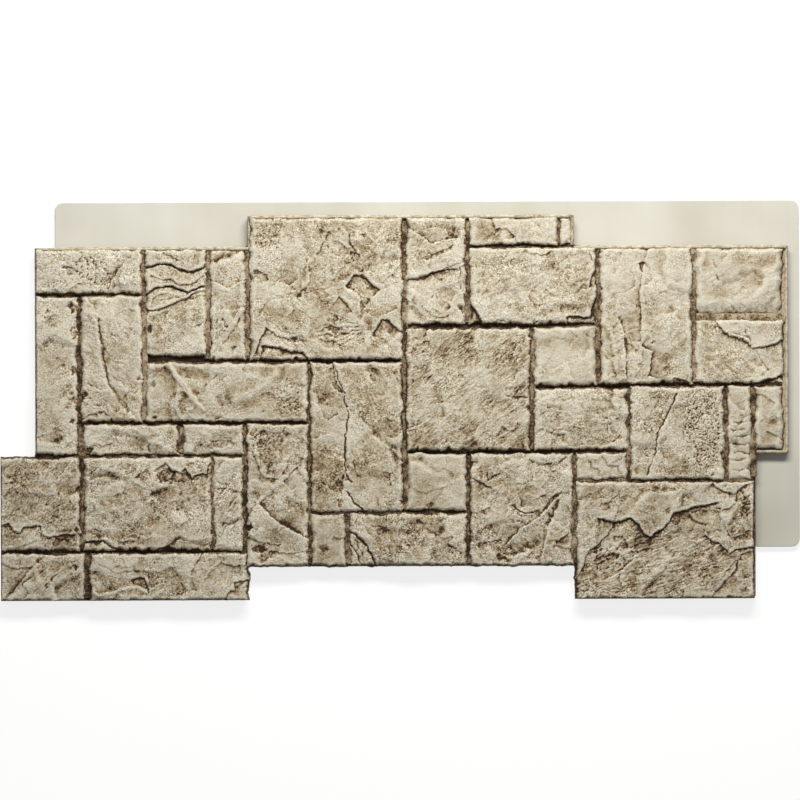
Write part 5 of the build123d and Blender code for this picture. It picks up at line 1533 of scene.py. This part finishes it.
# %% Where the joints run
# How much wash a joint holds: a pale one stands high, a dark one lies deep.
PALE = 0.60
BROWN = 0.72
DARK = 0.86
uprights = [
    (x_left_upright, y_low_strip, y_corner_cap, DARK), (x_outer_left, y_foot, y_low_strip, BROWN),
    (x_corner_cap, y_low_strip, top_side, PALE), (x_stacked, y_centre, top_side, PALE),
    (x_lower_narrow, y_foot, y_step, BROWN), (x_step_left, y_centre, top_side, PALE),
    (x_wedge, bottom_middle, y_low_strip, DARK), (x_tall, bottom_middle, y_centre, BROWN),
    (x_base_small, bottom_middle, y_tall_foot, BROWN), (x_centre, y_tall_foot, top_middle - TOP_LIP, BROWN),
    (x_square, y_slate, top_middle - TOP_LIP, BROWN), (x_square, bottom_middle, y_slate_foot, DARK),
    (x_slate, y_slate_foot, y_slate, BROWN), (x_long_cap, top_side, top_middle - TOP_LIP, BROWN),
    (x_long, y_rimmed, top_side, BROWN), (x_notched, y_right, top_side, PALE),
    (x_wrinkled, y_folded, y_right, BROWN), (x_right_small, y_folded, y_right, BROWN),
    (x_step_right, bottom_middle, y_slate_foot, BROWN),
]
broad_uprights = [
    (x_foot_left, bottom_side, y_foot, DARK), (x_low_strip, y_step, y_low_strip, BROWN),
    (x_pitted, y_folded, y_right, BROWN),
]
levels = [
    (y_corner_cap, left_high, x_corner_cap), (y_low_strip, x_left_upright, x_tall),
    (y_foot, left_low, x_wedge), (y_centre, x_corner_cap, x_centre),
    (y_slate - 1.6, x_centre, x_slate), (y_slate, x_slate, x_long), (top_side, x_square, x_step_right),
    (y_right, x_long, right_high), (y_rimmed, x_slate, x_pitted), (y_slate_foot, x_centre, x_pitted),
    (y_tall_foot, x_centre, x_square),
]
# These also say how high the joint stands and how much wash it holds.
shallow_levels = [
    (y_step, left_high - 6.0, x_wedge, BED_LEVEL - 0.2, 0.88),
    (y_tall_foot - 1.0, x_tall, x_centre, BED_LEVEL + 4.0, 0.66),
    (y_folded - 1.0, x_step_right, right_low, BED_LEVEL + 2.4, 0.76),
    # Under the stacked stone the joint is painted near black, a painted shadow.
    (y_stacked, x_corner_cap, x_stacked, BED_LEVEL - 1.2, 1.3),
]

# %% Lines for the joints' beads
END_GAP = 5.0
UPRIGHT_HALF = 6.4
BROAD_HALF = 8.0
GROOVE_HALF = 3.4
LEVEL_HALF = 6.5
UNDER_HALF = 7.5
# The level joints are painted very dark: partly wash, partly painted shadow under the stone above.
LEVEL_WASH_AND_SHADE = 0.95
GROOVE_WASH = 0.36
UNDER_WASH = 0.50


def upright_line(x, low_y, high_y, level, half_width, wash_and_shade):
    return [(x, low_y + END_GAP), (x, high_y - END_GAP)], level, half_width, wash_and_shade


def level_line(y, low_x, high_x, level, half_width, wash_and_shade):
    return [(low_x + END_GAP, y), (high_x - END_GAP, y)], level, half_width, wash_and_shade


upright_lines = []
for x, low_y, high_y, wash_and_shade in uprights:
    raised = 1.0 if wash_and_shade == DARK else 2.8
    upright_lines.append(upright_line(x, low_y, high_y, BED_LEVEL + raised, UPRIGHT_HALF, wash_and_shade))
for x, low_y, high_y, wash_and_shade in broad_uprights:
    upright_lines.append(upright_line(x, low_y, high_y, BED_LEVEL + 1.2, BROAD_HALF, wash_and_shade))
groove = right_high - RIGHT_LIP + 1.5
upright_lines.append(upright_line(groove, y_step, top_side, BED_LEVEL - 0.2, GROOVE_HALF, GROOVE_WASH))
level_lines = []
for y, low_x, high_x in levels:
    level_lines.append(level_line(y, low_x, high_x, BED_LEVEL - 1.8, LEVEL_HALF, LEVEL_WASH_AND_SHADE))
for y, low_x, high_x, level, wash_and_shade in shallow_levels:
    level_lines.append(level_line(y, low_x, high_x, level, LEVEL_HALF, wash_and_shade))
under = y_right_under - 3.6
level_lines.append(level_line(under, x_notched, right_high, BED_LEVEL + 2.8, UNDER_HALF, UNDER_WASH))
print("joint lines:", len(upright_lines), "upright and", len(level_lines), "level")

beads = bead_tree()
upright_source = line_object("upright_lines", upright_lines)
level_source = line_object("level_lines", level_lines)

# %% Lines for the crease and the rim
# The wash also settled in the corner where the field's edge meets the sheet. The paint of
# the crease and the rim is mottled by noise alone, so their lines carry no wash.
NO_WASH = 0.0
CREASE_HALF = 1.0
crease_path = [
    (sheet_left, top_side), (x_step_left, top_side), (x_step_left, top_middle), (x_step_right, top_middle),
    (x_step_right, top_side), (right_high, top_side), (right_high, y_step), (right_low, y_step),
    (right_low, sheet_bottom + 4.0),
]
crease_lines = []
for start, end in zip(crease_path[:-1], crease_path[1:]):
    crease_lines.append(([start, end], SHEET_THICKNESS, CREASE_HALF, NO_WASH))
crease_source = line_object("crease_lines", crease_lines)

# A pale rim closes the joints' ends along the upper and right edges of the field.
RIM_HALF = 2.6
STEP_RIM_HALF = 2.4
TOP_RIM_LEVEL = BED_LEVEL + 4.5
RIGHT_RIM_LEVEL = BED_LEVEL + 0.5
side_rim = top_side - RIM_HALF
middle_rim = top_middle - RIM_HALF
right_rim = right_high - RIM_HALF
step_rim = y_step + RIM_HALF
left_step_rim = x_step_left + STEP_RIM_HALF
right_step_rim = x_step_right - STEP_RIM_HALF
top_rims = [
    ((left_high + 3.0, side_rim), (x_step_left + 1.0, side_rim), RIM_HALF),
    ((x_step_left + 3.0, middle_rim), (x_step_right - 3.0, middle_rim), RIM_HALF),
    ((x_step_right, side_rim), (right_high - 3.0, side_rim), RIM_HALF),
    ((left_step_rim, top_side - 1.0), (left_step_rim, top_middle - 3.0), STEP_RIM_HALF),
    ((right_step_rim, top_side + 2.0), (right_step_rim, top_middle - 3.0), STEP_RIM_HALF),
]
right_rims = [
    ((right_rim, top_side - 4.0), (right_rim, y_step + 4.0), RIM_HALF),
    ((x_right_small + 2.0, step_rim), (right_high - 3.0, step_rim), RIM_HALF),
]
rim_lines = []
for rims, rim_level in ((top_rims, TOP_RIM_LEVEL), (right_rims, RIGHT_RIM_LEVEL)):
    for start, end, half_width in rims:
        rim_lines.append(([start, end], rim_level, half_width, NO_WASH))
rim_source = line_object("rim_lines", rim_lines)

# %% [markdown]
# ## Paint
# The moulding is cream all over. A thin brown wash was brushed on and wiped off, so it
# stays in joints, cracks and dips. The stones carry how much as an attribute from their
# own relief, and fine noise breaks it up. The same attribute also carries painted shade
# under the stones' bottom edges and in the level joints. A picture could give the same
# colours, but only for this one view and size.

# %% Colours and node helpers
def paint(red, green, blue):
    """A colour as a screen shows it, 0 to 255, to the linear values a shader wants."""

    def linear(value):
        value = value / 255
        return value / 12.92 if value <= 0.04045 else ((value + 0.055) / 1.055) ** 2.4

    return (linear(red), linear(green), linear(blue), 1.0)


CREAM = paint(213, 203, 181)
CREAM_WORN = paint(195, 181, 153)
WASH_PALE = paint(163, 143, 113)
WASH = paint(117, 96, 69)
WASH_DARK = paint(62, 46, 32)
SHEET = paint(226, 223, 210)
SHEET_SHADE = paint(213, 209, 193)


class Paint:
    """A material and short ways to add and link its nodes."""

    def __init__(self, name, roughness):
        self.material = bpy.data.materials.new(name)
        self.material.use_nodes = True
        self.tree = self.material.node_tree
        self.shader = self.tree.nodes["Principled BSDF"]
        self.shader.inputs["Roughness"].default_value = roughness
        self.shader.inputs["Specular IOR Level"].default_value = 0.25
        self.place = self.tree.nodes.new("ShaderNodeTexCoord").outputs["Object"]

    def noise(self, scale, detail=2.0, roughness=0.5, stretch=(1.0, 1.0, 1.0)):
        """Noise from 0 to 1 over the object's own metres."""
        mapping = add_node(self.tree, "ShaderNodeMapping", [("Scale", stretch)])
        node = add_node(
            self.tree, "ShaderNodeTexNoise", [("Scale", scale), ("Detail", detail), ("Roughness", roughness)]
        )
        self.tree.links.new(self.place, mapping.inputs["Vector"])
        self.tree.links.new(mapping.outputs["Vector"], node.inputs["Vector"])
        return node.outputs["Fac"]

    def attribute(self, name):
        """A value that the piece's points carry."""
        return add_node(self.tree, "ShaderNodeAttribute", attribute_name=name).outputs["Fac"]

    def math(self, operation, first, second=0.0, third=0.0):
        """The result of a sum on sockets or plain numbers."""
        node = add_node(self.tree, "ShaderNodeMath", operation=operation)
        for socket, value in zip(node.inputs, (first, second, third)):
            if isinstance(value, (int, float)):
                socket.default_value = value
            else:
                self.tree.links.new(value, socket)
        return node.outputs[0]

    def varied(self, base, value, amount):
        """The base plus the value, taken from its middle of 0.5, times the amount."""
        return self.math("MULTIPLY_ADD", self.math("SUBTRACT", value, 0.5), amount, base)

    def ramp(self, value, *stops):
        """A colour ramp from (position, colour) stops."""
        node = self.tree.nodes.new("ShaderNodeValToRGB")
        elements = node.color_ramp.elements
        while len(elements) < len(stops):
            elements.new(0.5)
        for element, (position, colour) in zip(elements, stops):
            element.position = position
            element.color = colour
        self.tree.links.new(value, node.inputs["Fac"])
        return node.outputs["Color"]

    def lit(self, colour, amount):
        """The colour made lighter or darker by a factor."""
        node = add_node(self.tree, "ShaderNodeVectorMath", operation="SCALE")
        link_all(self.tree, (colour, node.inputs[0]), (amount, node.inputs["Scale"]))
        return node.outputs["Vector"]

    def finish(self, colour, height=None, distance=0.0, strength=0.0):
        """The material, with its colour and, where a height is given, its bumps."""
        self.tree.links.new(colour, self.shader.inputs["Base Color"])
        if height is not None:
            bump = add_node(self.tree, "ShaderNodeBump", [("Distance", distance), ("Strength", strength)])
            link_all(
                self.tree,
                (height, bump.inputs["Height"]),
                (bump.outputs["Normal"], self.shader.inputs["Normal"]),
            )
        return self.material


# %% The stones' paint
def stone_paint():
    p = Paint("stone_paint", 0.85)
    cloud = p.noise(34.0, 4.0, 0.6)
    speck = p.noise(430.0, 2.0, 0.6)
    grain_noise = p.noise(150.0, 3.0, 0.6)
    amount = p.attribute("speckle")
    # The wash carries painted shade under the stones' bottom edges, and the tone a painted shade that darkens
    # the lower stones, on top of their own tones.
    wash_and_shade = p.math("ADD", p.attribute("wash_and_shade"), p.attribute("tone"))
    wash_and_shade = p.varied(wash_and_shade, cloud, 0.65)
    fine = p.math("MULTIPLY", p.math("SUBTRACT", speck, 0.5), 1.1)
    fine = p.varied(fine, grain_noise, 0.9)
    wash_and_shade = p.math("MULTIPLY_ADD", fine, amount, wash_and_shade)
    sparkle = p.math("MULTIPLY_ADD", p.math("MULTIPLY", p.math("SUBTRACT", speck, 0.5), amount), -1.3, 1.0)
    colour = p.ramp(
        wash_and_shade, (0.0, paint(226, 218, 198)), (0.25, CREAM), (0.45, CREAM_WORN), (0.68, WASH_PALE), (0.88, WASH),
        (1.0, WASH_DARK),
    )
    height = p.math("MULTIPLY_ADD", speck, 0.7, grain_noise)
    return p.finish(p.lit(colour, sparkle), height, 0.0016, 0.8)


def joint_paint():
    p = Paint("joint_paint", 0.9)
    coarse = p.noise(70.0, 4.0, 0.65)
    speck = p.noise(420.0, 3.0, 0.65)
    # The joints' wash is partly painted shadow, darkest in the level joints.
    value = p.varied(p.attribute("wash_and_shade"), speck, 1.3)
    value = p.varied(value, coarse, -1.9)
    colour = p.ramp(
        value, (0.35, paint(196, 180, 152)), (0.55, paint(158, 138, 110)), (0.75, paint(112, 92, 68)),
        (0.92, paint(54, 40, 27)),
    )
    return p.finish(colour, p.math("MULTIPLY_ADD", speck, 0.6, coarse), 0.0016, 0.8)


def rim_paint():
    p = Paint("rim_paint", 0.85)
    coarse = p.noise(110.0, 3.0, 0.6)
    speck = p.noise(420.0, 3.0, 0.65)
    value = p.varied(coarse, speck, 0.7)
    colour = p.ramp(value, (0.3, paint(150, 131, 103)), (0.45, CREAM_WORN), (0.65, paint(222, 214, 194)))
    return p.finish(colour, value, 0.0012, 0.7)


def sheet_paint():
    p = Paint("sheet_paint", 0.7)
    cloud = p.noise(6.0, 2.0)
    streak = p.noise(30.0, 3.0, 0.6, (1.0, 0.08, 1.0))
    value = p.varied(cloud, streak, 0.25)
    colour = p.ramp(value, (0.3, SHEET_SHADE), (0.6, SHEET), (0.85, paint(233, 231, 221)))
    return p.finish(colour, streak, 0.0003, 0.3)


def crease_paint():
    p = Paint("crease_paint", 0.85)
    gap = p.noise(120.0, 2.0)
    colour = p.ramp(gap, (0.42, paint(160, 138, 106)), (0.56, paint(216, 210, 192)))
    return p.finish(colour)


STONE_PAINT = stone_paint()
JOINT_PAINT = joint_paint()
SHEET_PAINT = sheet_paint()
CREASE_PAINT = crease_paint()
RIM_PAINT = rim_paint()
print("paints:", ", ".join(material.name for material in bpy.data.materials))

# %% Make the stones
groups = {
    "stones_upper_left": upper_left,
    "stones_upper_right": upper_right,
    "stones_middle": middle,
    "stones_lower_right": lower_right,
    "stones_lower_left": lower_left,
}
pieces = []
for group_name, group in groups.items():
    piece = joined(group_name, group)
    piece.data.materials.append(STONE_PAINT)
    pieces.append(piece)

# %% Make the joints, the crease and the rim
SPACING = 2.2 * MM
BED_WASH = 0.8
upright_joints = made_by(
    beads, upright_source, "upright_joints", Spacing=SPACING, Flatness=0.45, Cove=0.85, Wander=4.5 * MM,
    Roughness=2.8 * MM, Material=JOINT_PAINT, Seed=3,
    **{"Crumb Density": 9000.0, "Crumb Size": 1.6 * MM},
)
level_joints = made_by(
    beads, level_source, "level_joints", Spacing=SPACING, Flatness=0.36, Wander=3.0 * MM, Roughness=2.4 * MM,
    Material=JOINT_PAINT, Seed=4, **{"Crumb Density": 3000.0, "Crumb Size": 1.4 * MM},
)
crease = made_by(
    beads, crease_source, "crease", Spacing=3.0 * MM, Flatness=0.8, Wander=0.8 * MM, Roughness=0.5 * MM,
    Material=CREASE_PAINT,
)
rim = made_by(
    beads, rim_source, "rim", Spacing=2.5 * MM, Flatness=1.3, Wander=0.8 * MM, Roughness=1.2 * MM,
    Material=RIM_PAINT,
)
for source in (upright_source, level_source, crease_source, rim_source):
    bpy.data.objects.remove(source)
sheet.data.materials.append(SHEET_PAINT)
bed.data.materials.append(JOINT_PAINT)
bed_wash = bed.data.attributes.new("wash_and_shade", "FLOAT", "POINT")
bed_wash.data.foreach_set("value", [BED_WASH] * len(bed.data.vertices))
for piece in (upright_joints, level_joints, crease, rim):
    piece.data.shade_smooth()
pieces += [upright_joints, level_joints, crease, rim, sheet, bed]

# %% [markdown]
# ## Picture
# The photograph looks straight down on the panel from far off. The light comes from the
# photograph's upper side at a middle height, which draws every ledge that faces down the
# wall as a dark line and leaves the upright joints lit. The floor is white to the camera
# and keeps a pale shadow.

# %% Camera
CAMERA_DISTANCE = 8.0
PHOTO_WIDTH = 800
SENSOR = 36.0
FACE_LEVEL = 0.7 * STONE_TOP
camera_data = bpy.data.cameras.new("camera")
camera_data.sensor_width = SENSOR
camera_data.lens = SENSOR * CAMERA_DISTANCE / (PHOTO_WIDTH * PIXEL * MM)
camera_data.clip_end = 50.0
camera = placed("camera", camera_data)
photo_shift = (PHOTO_CENTRE[1] - PHOTO_WIDTH / 2) * PIXEL * MM
camera.location = (0.0, photo_shift, CAMERA_DISTANCE + FACE_LEVEL * MM)
camera.rotation_euler = (0.0, 0.0, -PHOTO_ROLL)
bpy.context.scene.camera = camera
print("lens", round(camera_data.lens, 1), "mm")


# %% Light
def seen_directly(tree):
    """1 for what the camera sees, also in a mirror or through glass, and 0 for other rays."""
    path = tree.nodes.new("ShaderNodeLightPath")
    value = path.outputs["Is Camera Ray"]
    for ray in ("Is Glossy Ray", "Is Transmission Ray"):
        larger = add_node(tree, "ShaderNodeMath", operation="MAXIMUM")
        link_all(tree, (value, larger.inputs[0]), (path.outputs[ray], larger.inputs[1]))
        value = larger.outputs[0]
    return value


KEY_PLACE = Vector((0.2, 1.5, 1.45))
KEY_WATTS = 48.0
FILL_STRENGTH = 0.16
key_data = bpy.data.lights.new("key", "AREA")
key_data.shape = "RECTANGLE"
key_data.size = 1.8
key_data.size_y = 0.4
key_data.energy = KEY_WATTS
key_data.color = (1.0, 0.985, 0.955)
key = placed("key", key_data)
key.location = KEY_PLACE
key.rotation_euler = KEY_PLACE.to_track_quat("Z", "Y").to_euler()
world = bpy.data.worlds.new("studio")
bpy.context.scene.world = world
world.use_nodes = True
sky = world.node_tree
background = sky.nodes["Background"]
background.inputs["Color"].default_value = (1.0, 1.0, 1.0, 1.0)
brightness = add_node(sky, "ShaderNodeMapRange", [("To Min", FILL_STRENGTH), ("To Max", 1.0)])
link_all(
    sky,
    (seen_directly(sky), brightness.inputs["Value"]),
    (brightness.outputs["Result"], background.inputs["Strength"]),
)
bpy.context.scene.view_settings.view_transform = "Standard"
print("key of", KEY_WATTS, "watts, fill of", FILL_STRENGTH)

# %% Floor
FLOOR_HALF = 4.0
floor_corners = [(x * FLOOR_HALF, y * FLOOR_HALF, 0.0) for x, y in ((-1, -1), (1, -1), (1, 1), (-1, 1))]
floor_mesh = bpy.data.meshes.new("floor")
floor_mesh.from_pydata(floor_corners, [], [(0, 1, 2, 3)])
floor = placed("floor", floor_mesh)
floor_paint = Paint("floor_paint", 0.9)
floor_shader = floor_paint.shader
floor_shader.inputs["Base Color"].default_value = (0.35, 0.35, 0.35, 1.0)
floor_shader.inputs["Specular IOR Level"].default_value = 0.0
floor_tree = floor_paint.tree
added_light = add_node(floor_tree, "ShaderNodeEmission", [("Strength", 0.8)])
both = add_node(floor_tree, "ShaderNodeAddShader")
choose = add_node(floor_tree, "ShaderNodeMixShader")
link_all(
    floor_tree,
    (floor_shader.outputs["BSDF"], both.inputs[0]),
    (added_light.outputs["Emission"], both.inputs[1]),
    (seen_directly(floor_tree), choose.inputs[0]),
    (floor_shader.outputs["BSDF"], choose.inputs[1]),
    (both.outputs["Shader"], choose.inputs[2]),
    (choose.outputs["Shader"], floor_tree.nodes["Material Output"].inputs["Surface"]),
)
floor.data.materials.append(floor_paint.material)

# %% Every piece rides on the panel's body
for piece in pieces:
    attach(piece, BODY)
    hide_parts(NODE)
total = sum(len(face.vertices) - 2 for piece in pieces for face in piece.data.polygons)
print("triangles in all", total)
